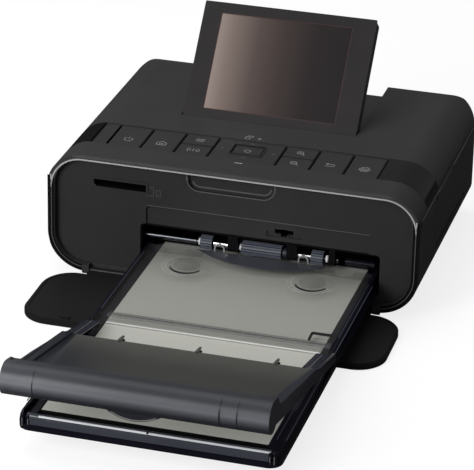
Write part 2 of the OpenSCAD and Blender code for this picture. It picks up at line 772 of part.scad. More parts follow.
module screen_frame() {
    color([0.13, 0.13, 0.135]) on_screen() difference() {
        union() {
            along_z(-1.2, screen_top) screen_outline(0);
            rod_x(-screen_half, screen_half, 0, 0, screen_t);
        }
        along_z(screen_top - 1.2, screen_top + lap) screen_outline(1);
        along_z(screen_top - 2.4, screen_top + lap) translate([-picture_w / 2 - 1.5,
            picture_s - 1.2]) square([picture_w + 3, picture_l + 3]);
        rod_x(-screen_half - lap, -screen_half + 7, 0, 0, screen_pin + 2 * run_fit);
        rod_x(screen_half - 7, screen_half + lap, 0, 0, screen_pin + 2 * run_fit);
    }
}

module screen_back() {
    color([0.14, 0.14, 0.145]) on_screen() difference() {
        along_z(-screen_top, -1.2) screen_outline(0);
        along_z(-screen_top - lap, -screen_top + 0.6) round_rect([-26, 14], [26, 48], 2, 2);
        rod_x(-screen_half - lap, screen_half + lap, 0, 0, screen_t + 2 * seat_gap);
    }
}

module screen_glass() {
    color([0.3, 0.3, 0.32, 0.5]) on_screen() along_z(screen_top - 1.2, screen_top - 0.1)
        screen_outline(1.15);
}

module display_panel() {
    color([0.35, 0.3, 0.28]) on_screen() along_z(screen_top - 2.4, screen_top - 1.25)
        translate([-picture_w / 2 - 1.3, picture_s - 1]) square([picture_w + 2.6, picture_l + 2.6]);
}

module screen_pins() {
    color([0.7, 0.7, 0.72]) place() for (side = [-1, 1]) rod_x(
        min(side * (recess_half + 3.2), side * (screen_half - 6)),
        max(side * (recess_half + 3.2), side * (screen_half - 6)), screen_y, screen_z, screen_pin);
}

// Deck under the keys, with a blank end on the left and a gloss end that wraps over the right edge
module key_deck() {
    color([0.09, 0.09, 0.095]) place() difference() {
        union() {
            intersection() {
                difference() {
                    block([band_x0 - deck_edge, keys_y0 - deck_edge, deck_z0],
                        [row_x1 + 4, keys_y1 + deck_edge, roof_z]);
                    block([band_x0 - 0.6, keys_y0 - 0.6, deck_z1],
                        [row_x1 + 4 + lap, keys_y1 + 0.6, roof_z + lap]);
                }
                // Clear of the top cover's round inner corner
                union() {
                    along_y(0, body_d) body_outline(case_wall + 0.3);
                    block([top_r + lap - half_w, 0, 0], [half_w, body_d, body_h]);
                }
            }
            block([band_x0 + 0.3, keys_y0 + 0.2, deck_z1 - 0.1],
                [row_x0 - key_gap / 2, keys_y1 - 0.2, key_z1 - 0.3]);
            intersection() {
                difference() {
                    body_solid(0);
                    along_y(-lap, body_d + lap) body_outline(case_wall);
                }
                block([row_x1 + key_gap / 2, keys_y0, seam_h], [half_w, keys_y1, body_h]);
            }
            block([row_x1 + key_gap / 2, keys_y0, deck_z1 - 0.1],
                [row_x1 + 4, keys_y1, roof_z + 0.1]);
        }
        for (at = stem_at) translate([at[0], at[1], deck_z0 - lap]) cylinder(h = 9,
            d = key_stem + 2 * run_fit);
    }
}

row_back = keys_mid + keys_d / 4;
row_front = keys_mid - keys_d / 4;
function col(n) = row_x0 + n * key_pitch;
stem_at = concat([for (n = [0.5, 1.5, 6.5, 7.5]) [col(n), keys_mid]],
    [for (n = [2.5, 5.5], y = [row_back, row_front]) [col(n), y]],
    [[col(4), keys_mid + 1], [col(4) - 12, keys_mid + 1], [col(4) + 12, keys_mid + 1]]);

// One key cap with its stem: n0 and n1 are its left and right edges in pitches
module key(n0, n1, y0, y1, stems) {
    inset = key_gap / 2;
    low = [col(n0) + inset, y0 + inset];
    high = [col(n1) - inset, y1 - inset];
    difference() {
        union() {
            along_z(key_z0, key_z1 - 0.4) round_rect(low, high, 0.6, 0.6);
            along_z(key_z1 - 0.5, key_z1) round_rect(low + [0.3, 0.3], high - [0.3, 0.3], 0.6, 0.6);
            for (at = stems) translate([at[0], at[1], stem_z0]) cylinder(h = key_z0 - stem_z0 + 0.4,
                d = key_stem);
        }
        children();
    }
}

module power_key() {
    color(soft) place() key(0, 1, keys_y0, keys_y1, [stem_at[0]]);
}

module home_key() {
    color(soft) place() key(1, 2, keys_y0, keys_y1, [stem_at[1]]);
}

module menu_key() {
    color(soft) place() key(2, 3, keys_mid, keys_y1, [stem_at[4]]);
}

module wireless_key() {
    color(soft) place() key(2, 3, keys_y0, keys_mid, [stem_at[5]]);
}

module arrow_key() {
    mid = [col(4), keys_mid + 1];
    color(soft) place() difference() {
        union() {
            key(3, 5, keys_y0, keys_y1, [stem_at[9], stem_at[10]]);
            // Raised frame round the OK key
            along_z(key_z1 - 0.1, key_z1 + 0.35) round_rect(
                mid - [ok_w, ok_d] / 2 - [1.5, 1.5], mid + [ok_w, ok_d] / 2 + [1.5, 1.5], 1, 1);
        }
        along_z(key_z0 - lap, body_h + 2) round_rect(mid - [ok_w, ok_d] / 2 - [0.3, 0.3],
            mid + [ok_w, ok_d] / 2 + [0.3, 0.3], 0.6, 0.6);
    }
}

module ok_key() {
    mid = [col(4), keys_mid + 1];
    color(soft) place() {
        along_z(key_z0, key_z1 - 0.1) round_rect(mid - [ok_w, ok_d] / 2, mid + [ok_w, ok_d] / 2,
            0.6, 0.6);
        translate([mid[0], mid[1], stem_z0]) cylinder(h = key_z0 - stem_z0 + 0.4, d = key_stem);
    }
}

module zoom_in_key() {
    color(soft) place() key(5, 6, keys_mid, keys_y1, [stem_at[6]]);
}

module zoom_out_key() {
    color(soft) place() key(5, 6, keys_y0, keys_mid, [stem_at[7]]);
}

module back_key() {
    color(soft) place() key(6, 7, keys_y0, keys_y1, [stem_at[2]]);
}

module print_key() {
    color(soft) place() key(7, 8, keys_y0, keys_y1, [stem_at[3]]);
}

module switch_board() {
    color([0.1, 0.35, 0.2]) place() {
        block([band_x0, keys_y0, board_z0], [row_x1 + 3, keys_y1, board_z1]);
        for (at = stem_at) translate([at[0], at[1], board_z1 - 0.1]) cylinder(
            h = dome_z1 - board_z1 + 0.1, d1 = 4.4, d2 = 3.4);
        // Posts up to the deck
        for (x = [band_x0 + 3, row_x1 - 1], y = [keys_y0 + 2.5, keys_y1 - 2.5])
            translate([x, y, board_z1 - 0.1]) cylinder(h = deck_z0 - board_z1 + 0.1, d = 3);
    }
}

// Cassette tray: runner rails, set-in walls, paper ledges and a low front wall
module cassette_tray() {
    front_ridge = 4.6;
    color([0.1, 0.1, 0.13]) place() difference() {
        union() {
            along_z(tray_z, tray_z + rail_h) round_rect([tray_x0, -tray_front],
                [tray_x1, tray_rear], tray_r, 0.6);
            along_z(tray_z, tray_top) round_rect([wall_x0, -tray_front + 0.6],
                [wall_x1, tray_rear], tray_r - 0.6, 0.6);
            // Bead along the top of the front wall
            rod_x(tray_x0 + tray_r, tray_x1 - tray_r, 1.9 - tray_front, tray_z + front_ridge, 3);
        }
        // Paper bay and the wider space above the ledges
        block([ledge_x0, -tray_front + 2.8, tray_floor], [ledge_x1, tray_rear - tray_wall,
            tray_top + lap]);
        block([bay_x0, -tray_front + 2.8, ledge_top], [bay_x1, tray_rear - tray_wall,
            tray_top + lap]);
        // Front wall is lower than the sides, and so is the rear wall
        block([tray_x0 - lap, -tray_front - lap, tray_z + front_ridge + 1], [tray_x1 + lap,
            -tray_front + 9, tray_top + lap]);
        block([bay_x0, tray_rear - tray_wall - 8, tray_z + 5.4], [bay_x1, tray_rear + lap,
            tray_top + lap]);
        // Windows in the floor for the lifting lever
        for (x = [-18, 18]) along_z(tray_z - lap, tray_floor + 0.1) round_rect(
            [feed_x + x - 5, -14], [feed_x + x + 5, 10], 2, 2);
        // Small mark in the middle of the front wall's bead
        block([feed_x - 0.5, -tray_front - lap, tray_z + front_ridge - 0.6],
            [feed_x + 0.5, -tray_front + 2.4, tray_top]);
        // Bores for the outer cover's hinge pins
        rod_x(tray_x0 - lap, tray_x1 + lap, -cover_y, cover_axis_z, cover_pin);
        // Outer grooves of the runner rails
        for (x = [tray_x0 - lap, tray_x1 - 0.5]) block([x, -tray_front + 12, tray_z + 0.9],
            [x + lap + 0.5, tray_rear + lap, tray_z + 1.6]);
    }
}

module paper_stack() {
    color([0.88, 0.88, 0.84]) place() block([feed_x - paper_w / 2, paper_y0, paper_z0],
        [feed_x + paper_w / 2, paper_y0 + paper_l, paper_z1]);
}

module pressure_plate() {
    color([0.7, 0.7, 0.72]) place() difference() {
        block([feed_x - paper_w / 2 + 0.2, -60, tray_floor], [feed_x + paper_w / 2 - 0.2,
            tray_rear - tray_wall - 0.6, paper_z0]);
        for (x = [-18, 18]) along_z(tray_floor - lap, paper_z0 + lap) round_rect(
            [feed_x + x - 3, -40], [feed_x + x + 3, -20], 2, 2);
    }
}

disc_at = [for (side = [-1, 1]) [feed_x + side * 30.4, -13.3]];

// Inner lid over the rear half of the paper, with the raised print guide at its rear edge
module inner_lid() {
    lid_x0 = bay_x0 + 0.3;
    lid_x1 = bay_x1 - 0.3;
    guide_r = 50;
    skirt_z = ledge_top + 0.25;
    slope_y = lid_slope - lid_front;
    color([0.45, 0.45, 0.5, 0.5]) place() difference() {
        union() {
            block([lid_x0, slope_y, lid_z0], [lid_x1, lid_back, lid_z1]);
            // Sloping front edge, and side skirts that rest on the tray's ledges
            along_x(lid_x0, lid_x1) polygon([[-lid_front, skirt_z], [1.8 - lid_front, skirt_z],
                [slope_y + 0.8, lid_z0], [slope_y + 0.8, lid_z1], [slope_y, lid_z1]]);
            for (x = [lid_x0, lid_x1 - 1.2]) block([x, slope_y, ledge_top],
                [x + 1.2, lid_back, lid_z0 + 0.1]);
            // Hinge lugs in front of the lid
            for (side = [-1, 1]) lug(side);
            // Print guide: a shallow arc
            intersection() {
                translate([feed_x + 1.7, guide_r - 6.6, lid_z1 - 0.1]) cylinder(h = 0.9, r = guide_r,
                    $fn = 180);
                block([feed_x - 42, -20, lid_z1 - 0.2], [feed_x + 42, lid_back, lid_z1 + lap]);
            }
            for (at = disc_at) translate([at[0], at[1], lid_z1 - 0.1]) {
                cylinder(h = 0.5, r = 9.4);
                cylinder(h = 1, r = 8);
            }
        }
        // Slit that frees the right catch
        block([ledge_x1 - 8.3, 7.5 - lid_front, lid_z0 - lap], [ledge_x1 - 7.3, 15.5 - lid_front,
            lid_z1 + 2]);
        block([ledge_x1 - 8.3, 14.5 - lid_front, lid_z0 - lap], [ledge_x1 + 1.7,
            15.5 - lid_front, lid_z1 + 2]);
        // Scoops for the two side feed rollers
        for (side = [-1, 1]) translate([feed_x + side * 41, 5.2, lid_z0 - lap]) cylinder(h = 6, r = 5);
        rod_x(tray_x0, tray_x1, -cover_y, cover_axis_z, cover_pin + 2 * run_fit);
        // Flat underside of the lugs, over the tray's ledges
        block([tray_x0, -lid_front - 16, tray_z], [tray_x1, -lid_front - 0.01, ledge_top]);
    }
}

module lug(side) {
    x0 = side > 0 ? bay_x1 - 4.6 : bay_x0 + 0.3;
    x1 = x0 + 4.3;
    block([x0, -lid_front - 9.5, lid_z0 - 1], [x1, lid_slope - lid_front + 1, lid_z1 - 0.2]);
    along_x(x0, x1) translate([-cover_y, cover_axis_z]) circle(r = lid_z1 - 0.2 - cover_axis_z);
}

// Places a piece that is drawn closed from the outer cover's hinge axis, reach along +Y
module on_cover() {
    place() translate([0, -cover_y, cover_axis_z]) rotate([-cover_tilt, 0, 0]) mirror([0, 1, 0])
        children();
}

// Side outline of the outer cover's plate and curled lip
module curl_outline() {
    blend_r = 9;
    difference() {
        union() {
            translate([plate_reach, cover_low]) square([curl_reach - plate_reach - 4, cover_t]);
            difference() {
                union() {
                    translate([curl_reach, curl_rise]) circle(curl_r);
                    translate([curl_reach - curl_r - 3, cover_low]) square([curl_r + 3,
                        curl_rise - cover_low + curl_r - 0.6]);
                }
                translate([curl_reach - curl_r - 3 - blend_r + 4.6, cover_top + blend_r])
                    circle(blend_r);
                translate([curl_reach - curl_r - 4, cover_top + blend_r - 4])
                    square([3.5, 20]);
            }
        }
        // Hollow of the curl, open downwards to the back
        translate([curl_reach, curl_rise]) circle(curl_in);
        translate([curl_reach - curl_r - 6, -curl_r - 9 + cover_low]) square([curl_r + 6,
            curl_r + 9]);
    }
}

// Side outline of one cheek of the outer cover
module cheek_outline() {
    rise = 1.4;
    step = 96;
    circle(arm_r);
    polygon([[0, -arm_r + 0.2], [plate_reach, cheek_low + 0.6], [step - 20, cheek_low],
        [step, cheek_low], [step, cover_top + rise], [step - 20, cover_top + rise],
        [plate_reach, cover_top + 0.2], [plate_reach - 6, cover_low + 0.6], [0, arm_r - 0.2]]);
    difference() {
        union() {
            translate([step - 1, cheek_low]) square([curl_reach - step + 1,
                curl_rise + curl_r - cheek_low]);
            translate([curl_reach, curl_rise]) circle(curl_r);
        }
        translate([step - 1.6, cover_top + rise + 10]) circle(10);
        translate([step - 12, cover_top + rise + 9.5]) square([16, 20]);
    }
}

module outer_cover() {
    edge = 0.15;
    color([0.3, 0.3, 0.36, 0.6]) on_cover() difference() {
        union() {
            along_x(tray_x0 + edge, tray_x1 - edge) curl_outline();
            for (side = [-1, 1]) {
                x0 = side > 0 ? tray_x1 - edge - cheek_t : tray_x0 + edge;
                along_x(x0, x0 + cheek_t) cheek_outline();
                // Flat flange along the top of the cheek
                x2 = side > 0 ? tray_x1 - edge - 4.6 : tray_x0 + edge;
                along_x(x2, x2 + 4.6) translate([plate_reach + 1, cover_top])
                    square([95 - plate_reach, 0.8]);
            }
            // Finger tab that hangs below the lip as a shallow arc
            intersection() {
                along_y(curl_reach - 0.7, curl_reach + 0.7) translate([feed_x - 1,
                    curl_rise - curl_r - tab_h + tab_r]) circle(tab_r);
                block([feed_x - 30, curl_reach - lap, curl_rise - curl_r - tab_h - lap],
                    [feed_x + 30, curl_reach + lap, curl_rise - curl_r + 0.4]);
            }
            // Three fins on the rear edge that guide the print
            for (i = [-1:1]) along_x(feed_x + 3.8 + i * 35.3 - 0.5, feed_x + 3.8 + i * 35.3 + 0.5)
                polygon([[plate_reach + 3, cover_top - 0.2], [plate_reach + 0.6, cover_low],
                    [plate_reach - 5.4, cover_low + 1.7], [plate_reach - 5.4, cover_low + 2.4],
                    [plate_reach + 3, cover_top + 0.7]]);
        }
        rod_x(tray_x0 - lap, tray_x0 + 5, 0, 0, cover_pin + 2 * run_fit);
        rod_x(tray_x1 - 5, tray_x1 + lap, 0, 0, cover_pin + 2 * run_fit);
    }
}

module cover_pins() {
    color([0.12, 0.12, 0.14]) place() for (x = [[tray_x0 + 0.3, bay_x0 + 3],
        [bay_x1 - 3, tray_x1 - 0.3]]) rod_x(x[0], x[1], -cover_y, cover_axis_z, cover_pin);
}

module feed_shaft() {
    color([0.8, 0.8, 0.82]) place() difference() {
        rod_x(gear_x0 - 0.4, shaft_x1 + 1.2, feed_y, feed_z, feed_d);
        // Ring grooves for the clips
        for (x = [feed_x - roller_gap - 5, feed_x + 19.4]) translate([x, feed_y, feed_z])
            rotate([0, 90, 0]) rotate_extrude() translate([feed_d / 2 - 0.3, 0]) square([1, 0.5]);
    }
}

// Rubber sleeve with ribs along its length, on a round bore
module ribbed_roller(x0, x1) {
    along_x(x0, x1) translate([feed_y, feed_z]) difference() {
        union() {
            circle(d = roller_d - 0.7);
            for (i = [0:15]) rotate(i * 22.5) translate([feed_d / 2, -0.33])
                square([(roller_d - feed_d) / 2, 0.66]);
        }
        circle(d = feed_d + 0.04);
    }
}

module feed_rollers() {
    color([0.3, 0.32, 0.36]) place() {
        ribbed_roller(feed_x - roller_mid / 2, feed_x + roller_mid / 2);
        for (side = [-1, 1]) ribbed_roller(feed_x + side * roller_gap - roller_side / 2,
            feed_x + side * roller_gap + roller_side / 2);
        // White collar beside the wide roller
        difference() {
            rod_x(feed_x + roller_mid / 2 + 0.6, feed_x + roller_mid / 2 + 2.4, feed_y, feed_z, 4.6);
            rod_x(feed_x, feed_x + 30, feed_y, feed_z, feed_d + 0.04);
        }
    }
}

// Spur gear on a round bore, turned by its phase
module spur_gear(n, phase, at, bore) {
    place() difference() {
        translate([gear_x0, at[0], at[1]]) rotate([phase, 0, 0]) rotate([90, 0, 90])
            linear_extrude(gear_w) polygon(gear_outline(n));
        rod_x(gear_x0 - lap, gear_x1 + lap, at[0], at[1], bore);
    }
}

module feed_gear() {
    color([0.85, 0.84, 0.78]) spur_gear(feed_n, feed_phase, [feed_y, feed_z], feed_d);
}

module idler_gear_a() {
    color([0.85, 0.84, 0.78]) spur_gear(idler_n, idler_a_phase, idler_a, 2.5 + 2 * run_fit);
}

module idler_gear_b() {
    color([0.85, 0.84, 0.78]) spur_gear(idler_n, idler_b_phase, idler_b, 2.5 + 2 * run_fit);
}

module platen_gear() {
    color([0.85, 0.84, 0.78]) spur_gear(platen_n, platen_phase, [platen_y, platen_z], 4.04);
}

module motor_pinion() {
    color([0.8, 0.7, 0.35]) place() difference() {
        translate([gear_x0, motor_at[0], motor_at[1]]) rotate([pinion_phase, 0, 0])
            rotate([90, 0, 90]) linear_extrude(gear_w) polygon(gear_outline(pinion_n));
        rod_x(gear_x0 - lap, gear_x1 + lap, motor_at[0], motor_at[1], 2);
    }
}

module platen_shaft() {
    color([0.8, 0.8, 0.82]) place() rod_x(gear_x0 - 0.4, frame_x1 + frame_t + 1.5, platen_y,
        platen_z, 4);
}

module platen_roller() {
    color([0.2, 0.2, 0.21]) place() difference() {
        rod_x(mouth_x0 + 2, mouth_x1 - 2, platen_y, platen_z, platen_d);
        rod_x(mouth_x0, mouth_x1, platen_y, platen_z, 4);
    }
}

module capstan_roller() {
    color([0.75, 0.75, 0.77]) place() {
        rod_x(mouth_x0 + 2, mouth_x1 - 2, capstan_y, capstan_z, capstan_d);
        rod_x(frame_x0 - 0.6, frame_x1 + frame_t + 0.6, capstan_y, capstan_z, 4);
    }
}

module pinch_roller() {
    color([0.25, 0.25, 0.26]) place() {
        for (side = [-1, 1]) rod_x(feed_x + side * 24 - 16, feed_x + side * 24 + 16, capstan_y,
            path_z + 0.4 + 3.5, 7);
        rod_x(frame_x0 - 0.6, frame_x1 + frame_t + 0.6, capstan_y, path_z + 0.4 + 3.5, 3);
    }
}

module drive_motor() {
    color([0.6, 0.6, 0.62]) place() {
        difference() {
            rod_x(plate_x0 - 26, plate_x0, motor_at[0], motor_at[1], motor_d);
            rod_x(plate_x0 - 26 - lap, plate_x0 - 25, motor_at[0], motor_at[1], 8);
        }
        rod_x(plate_x0 - 1, gear_x1 - 0.4, motor_at[0], motor_at[1], 2);
    }
}

// Height of the case floor under a plate whose outer face is at x
function floor_at(x) =
    let (out = max(x - half_w + low_r, 0), r = low_r - case_wall) floor_z + r - sqrt(r * r - out * out);

// Outline of a frame plate, from the case floor up
module frame_outline(low) {
    translate([20, low]) square([98, floor_z + 38 - low]);
    translate([36, low]) square([70, floor_z + 45 - low]);
}

module left_frame() {
    color([0.75, 0.76, 0.78]) place() difference() {
        union() {
            along_x(frame_x0, frame_x0 + frame_t) frame_outline(floor_z);
            // Idler studs, held by the frame and the gear plate
            for (at = [idler_a, idler_b]) rod_x(plate_x1, frame_x0 + frame_t, at[0], at[1], 2.5);
        }
        rod_x(frame_x0 - lap, frame_x0 + 3, platen_y, platen_z, 4 + 2 * run_fit);
        rod_x(frame_x0 - lap, frame_x0 + 3, capstan_y, capstan_z, 4 + 2 * run_fit);
        rod_x(frame_x0 - lap, frame_x0 + 3, capstan_y, path_z + 3.9, 3 + 2 * run_fit);
        for (y = spool_ys) rod_x(frame_x0 - lap, frame_x0 + 3, y, spool_z, 5);
        along_x(frame_x0 - lap, frame_x0 + 3) translate([54, 8]) square([10, 4]);
    }
}

module right_frame() {
    color([0.75, 0.76, 0.78]) place() difference() {
        along_x(frame_x1, frame_x1 + frame_t)
            frame_outline(floor_at(frame_x1 + frame_t) + 0.02);
        rod_x(frame_x1 - lap, frame_x1 + 3, platen_y, platen_z, 4 + 2 * run_fit);
        rod_x(frame_x1 - lap, frame_x1 + 3, capstan_y, capstan_z, 4 + 2 * run_fit);
        rod_x(frame_x1 - lap, frame_x1 + 3, capstan_y, path_z + 3.9, 3 + 2 * run_fit);
        // Window that the ink cartridge slides through
        along_x(frame_x1 - lap, frame_x1 + 3) translate([spool_ys[0] - spool_case / 2 - 0.4,
            spool_z - spool_case / 2 - 0.4]) square([2 * spool_y + spool_case + 0.8,
            spool_case + 0.8]);
    }
}

module gear_plate() {
    color([0.75, 0.76, 0.78]) place() difference() {
        along_x(plate_x0, plate_x1) {
            translate([panel_y1 + 1.4, floor_z]) square([78 - panel_y1, 34]);
            translate([motor_at[0] - 13, floor_z]) square([26, motor_at[1] + 4 - floor_z]);
        }
        rod_x(plate_x0 - lap, plate_x1 + lap, motor_at[0], motor_at[1], 4);
        rod_x(plate_x0 - lap, plate_x1 + lap, feed_y, feed_z, 5);
        rod_x(plate_x0 - lap, plate_x1 + lap, platen_y, platen_z, 6);
    }
}

module thermal_head() {
    color([0.85, 0.83, 0.78]) place() {
        along_x(mouth_x0 + 4, mouth_x1 - 4) polygon([[platen_y - 1.5, film_z + 0.4],
            [platen_y + 1.5, film_z + 0.4], [platen_y + 6, film_z + 3], [platen_y + 6, film_z + 5],
            [platen_y - 6, film_z + 5], [platen_y - 6, film_z + 3]]);
    }
}

module heat_sink() {
    sink_z0 = film_z + 5;
    color([0.7, 0.71, 0.73]) place() {
        block([frame_x0 + frame_t, platen_y - 6, sink_z0], [frame_x1, platen_y + 6, sink_z0 + 3]);
        for (i = [0:5]) block([cart_x0 + 3.6, platen_y - 6 + i * 2.2, sink_z0 + 2.9],
            [mouth_x1 - 4, platen_y - 5 + i * 2.2, sink_z0 + 11]);
    }
}

cart_x0 = mouth_x0 + 3;
cart_x1 = half_w - case_wall - cart_gap - 3;

// Cartridge shell: two spool housings joined by an end bar on the left and a grip on the right
module ink_cartridge() {
    color([0.35, 0.35, 0.4]) place() difference() {
        union() {
            for (y = spool_ys) rod_x(cart_x0, cart_x1, y, spool_z, spool_case);
            for (x = [[cart_x0, cart_x0 + 3], [frame_x1 - 5, cart_x1]]) block([x[0], spool_ys[0],
                spool_z + 5], [x[1], spool_ys[1], spool_z + spool_case / 2]);
            block([cart_x1 - 0.1, platen_y - 9, spool_z + 6], [cart_x1 + 3, platen_y + 9,
                spool_z + 9]);
        }
        for (y = spool_ys) {
            rod_x(cart_x0 + 1.4, cart_x1 - 3, y, spool_z, spool_case - 2.4);
            rod_x(cart_x0 - lap, cart_x1 - 3, y, spool_z, 6 + 2 * run_fit);
        }
        // Slots where the ribbon leaves each housing
        for (y = spool_ys) block([cart_x0 + 6, y - 3, film_z - 8], [frame_x1 - 8, y + 3,
            spool_z - 6]);
        // Clear space for the head between the housings
        block([cart_x0 + 3, platen_y - 8, spool_z + 4], [frame_x1 - 5, platen_y + 8, spool_z + 12]);
    }
}

// Spool with its two journals and a wound core
module spool(y, d) {
    rod_x(cart_x0 + 6, frame_x1 - 8, y, spool_z, d);
    rod_x(cart_x0 - 1, cart_x1 - 3.4, y, spool_z, 6);
    rod_x(frame_x0 - 0.4, cart_x0 - 0.9, y, spool_z, 4.8);
}

module supply_spool() {
    color([0.75, 0.55, 0.2]) place() spool(spool_ys[0], spool_d);
}

module take_up_spool() {
    color([0.2, 0.2, 0.25]) place() spool(spool_ys[1], spool_d - 5);
}

module ink_ribbon() {
    low = spool_z - spool_case / 2;
    color([0.75, 0.6, 0.25]) place() along_x(cart_x0 + 7, frame_x1 - 9) polygon([
        [spool_ys[0], low - 0.9], [platen_y - 3, film_z - 0.1], [platen_y + 3, film_z - 0.1],
        [spool_ys[1], low - 0.9], [spool_ys[1], low - 0.7], [platen_y + 3, film_z + 0.1],
        [platen_y - 3, film_z + 0.1], [spool_ys[0], low - 0.7]]);
}

module ink_door() {
    y0 = ink_y0 + 0.3;
    y1 = ink_y1 - 0.3;
    color([0.15, 0.145, 0.14]) place() difference() {
        union() {
            block([half_w - case_wall, y0, ink_axis_z], [half_w, y1, ink_top]);
            rod_y(y0, y1, ink_x, ink_axis_z, ink_barrel);
            // Hook that snaps behind the top cover
            block([half_w - case_wall - 1, 64, ink_top - 5], [half_w - case_wall + 0.1, 76,
                ink_top - 1]);
        }
        rod_y(y0 - lap, y0 + 8, ink_x, ink_axis_z, 1.4 + 2 * run_fit);
        rod_y(y1 - 8, y1 + lap, ink_x, ink_axis_z, 1.4 + 2 * run_fit);
        // Finger grip in the top edge
        block([half_w - 1.4, 45, ink_top - 1.4], [half_w + lap, 75, ink_top + lap]);
    }
}

module ink_door_pin() {
    color([0.7, 0.7, 0.72]) place() {
        rod_y(ink_y0 - 2.6, ink_y0 + 7, ink_x, ink_axis_z, 1.4);
        rod_y(ink_y1 - 7, ink_y1 + 2.6, ink_x, ink_axis_z, 1.4);
    }
}

module main_board() {
    color([0.1, 0.35, 0.2]) place() {
        block([board_x0, 58, 9], [board_x1, 104, 10.6]);
        for (x = [board_x1 - 12, board_x1 - 3], y = [61, 101])
            translate([x, y, floor_at(2 - x)]) cylinder(h = 9.1 - floor_at(2 - x), d = 4);
        block([board_x0 + 2, 72, 10.5], [board_x1 - 9, 86, 12]);
        block([board_x1 - 7, 64, 10.5], [board_x1 - 2, 80, 15]);
        for (i = [0:3]) translate([board_x1 - 4, 84 + i * 4.2, 10.5]) cylinder(h = 5, d = 3.4);
    }
}

module card_socket() {
    x0 = card_x - 1.4;
    x1 = card_x + card_w + 1.4;
    color([0.7, 0.7, 0.72]) place() difference() {
        block([x0, panel_y1 + 0.1, card_z - card_h / 2 - 1.6], [x1, 32, card_z + card_h / 2 + 1]);
        block([x0 + 1.2, panel_y1 - lap, card_z - card_h / 2 - 0.2], [x1 - 1.2, 30,
            card_z + card_h / 2 + 0.2]);
    }
}

module power_inlet() {
    color([0.1, 0.1, 0.1]) place() difference() {
        union() {
            block([inlet_at[0] - 5.5, 122, 10.6], [inlet_at[0] + 5.5, inner_y1, inlet_at[1] + 5]);
            rod_y(inner_y1 - lap, body_d - 0.3, inlet_at[0], inlet_at[1], inlet_d + 2.8);
        }
        rod_y(124, body_d + lap, inlet_at[0], inlet_at[1], inlet_d);
    }
}

lower_case();
top_cover();
front_trim();
front_panel();
mouth_guide();
front_door();
door_pins();
rubber_feet();
case_screws();
screen_frame();
screen_back();
screen_glass();
display_panel();
screen_pins();
key_deck();
switch_board();
status_lamp();
power_key();
home_key();
menu_key();
wireless_key();
arrow_key();
ok_key();
zoom_in_key();
zoom_out_key();
back_key();
print_key();
cassette_tray();
paper_stack();
pressure_plate();
inner_lid();
outer_cover();
cover_pins();
feed_shaft();
feed_rollers();
feed_gear();
idler_gear_a();
idler_gear_b();
platen_roller();
platen_shaft();
platen_gear();
capstan_roller();
pinch_roller();
drive_motor();
motor_pinion();
left_frame();
right_frame();
gear_plate();
thermal_head();
heat_sink();
ink_cartridge();
supply_spool();
take_up_spool();
ink_ribbon();
ink_door();
ink_door_pin();
main_board();
card_socket();
power_inlet();
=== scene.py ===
import logging
import math
from dataclasses import dataclass, field
from enum import Enum

import bmesh
import bpy
from mathutils import Matrix, Vector


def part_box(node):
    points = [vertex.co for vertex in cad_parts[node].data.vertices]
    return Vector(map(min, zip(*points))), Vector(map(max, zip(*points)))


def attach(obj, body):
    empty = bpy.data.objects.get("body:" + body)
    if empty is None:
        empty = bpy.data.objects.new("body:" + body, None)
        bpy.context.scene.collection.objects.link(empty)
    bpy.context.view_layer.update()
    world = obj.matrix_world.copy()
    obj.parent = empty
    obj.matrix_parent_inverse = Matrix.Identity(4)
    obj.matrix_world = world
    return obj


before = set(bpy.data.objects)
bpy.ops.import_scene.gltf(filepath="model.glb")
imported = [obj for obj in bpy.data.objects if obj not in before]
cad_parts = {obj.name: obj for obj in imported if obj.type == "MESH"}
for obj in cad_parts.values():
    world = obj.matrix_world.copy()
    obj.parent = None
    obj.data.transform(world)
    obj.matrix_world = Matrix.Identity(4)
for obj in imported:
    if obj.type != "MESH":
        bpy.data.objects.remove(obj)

LOG = logging.getLogger("photo_printer")
Point = tuple[float, float]
Triple = tuple[float, float, float]
Stops = tuple[tuple[float, Triple | float], ...]

# Metres in a millimetre
MM = 0.001
# Measured depth of the paper's rear edge and height of the inner lid's top, in millimetres
PAPER_REAR = 16.6
LID_TOP = 18.3
# Axes of a seat that stands upright and faces the front
UPRIGHT: tuple[Triple, Triple] = ((1.0, 0.0, 0.0), (0.0, 0.0, 1.0))


@dataclass(frozen=True)
class Datum:
    """Turns millimetres measured from the body's front and middle into the model's frame.

    Args:
        shift: Distance from the body's front plane to the model's origin, in millimetres.
    """

    shift: float

    def at(self, x: float, y: float, z: float) -> Vector:
        """Gives a measured point in metres in the model's frame."""
        return Vector((x, y + self.shift, z)) * MM


@dataclass(frozen=True)
class Seat:
    """A flat local frame that marks and thin pieces lie on, in millimetres.

    Args:
        origin: Measured point that the local zero lies on.
        across: Direction of the first local axis.
        along: Direction of the second local axis.
    """

    origin: Triple
    across: Triple = (1.0, 0.0, 0.0)
    along: Triple = (0.0, 1.0, 0.0)

    def point(self, u: float, v: float, w: float = 0.0) -> Triple:
        """Gives the measured point at u across, v along and w above the seat."""
        first, second = Vector(self.across), Vector(self.along)
        return tuple(Vector(self.origin) + first * u + second * v + first.cross(second) * w)

    def raised(self, height: float) -> "Seat":
        """Gives the same seat at a height above this one."""
        return Seat(self.point(0.0, 0.0, height), self.across, self.along)


@dataclass(frozen=True)
class Carrier:
    """What a piece belongs to.

    Args:
        body: The body that it rides on.
        slot: Its material slot in the record; not used.
    """

    body: str
    slot: str
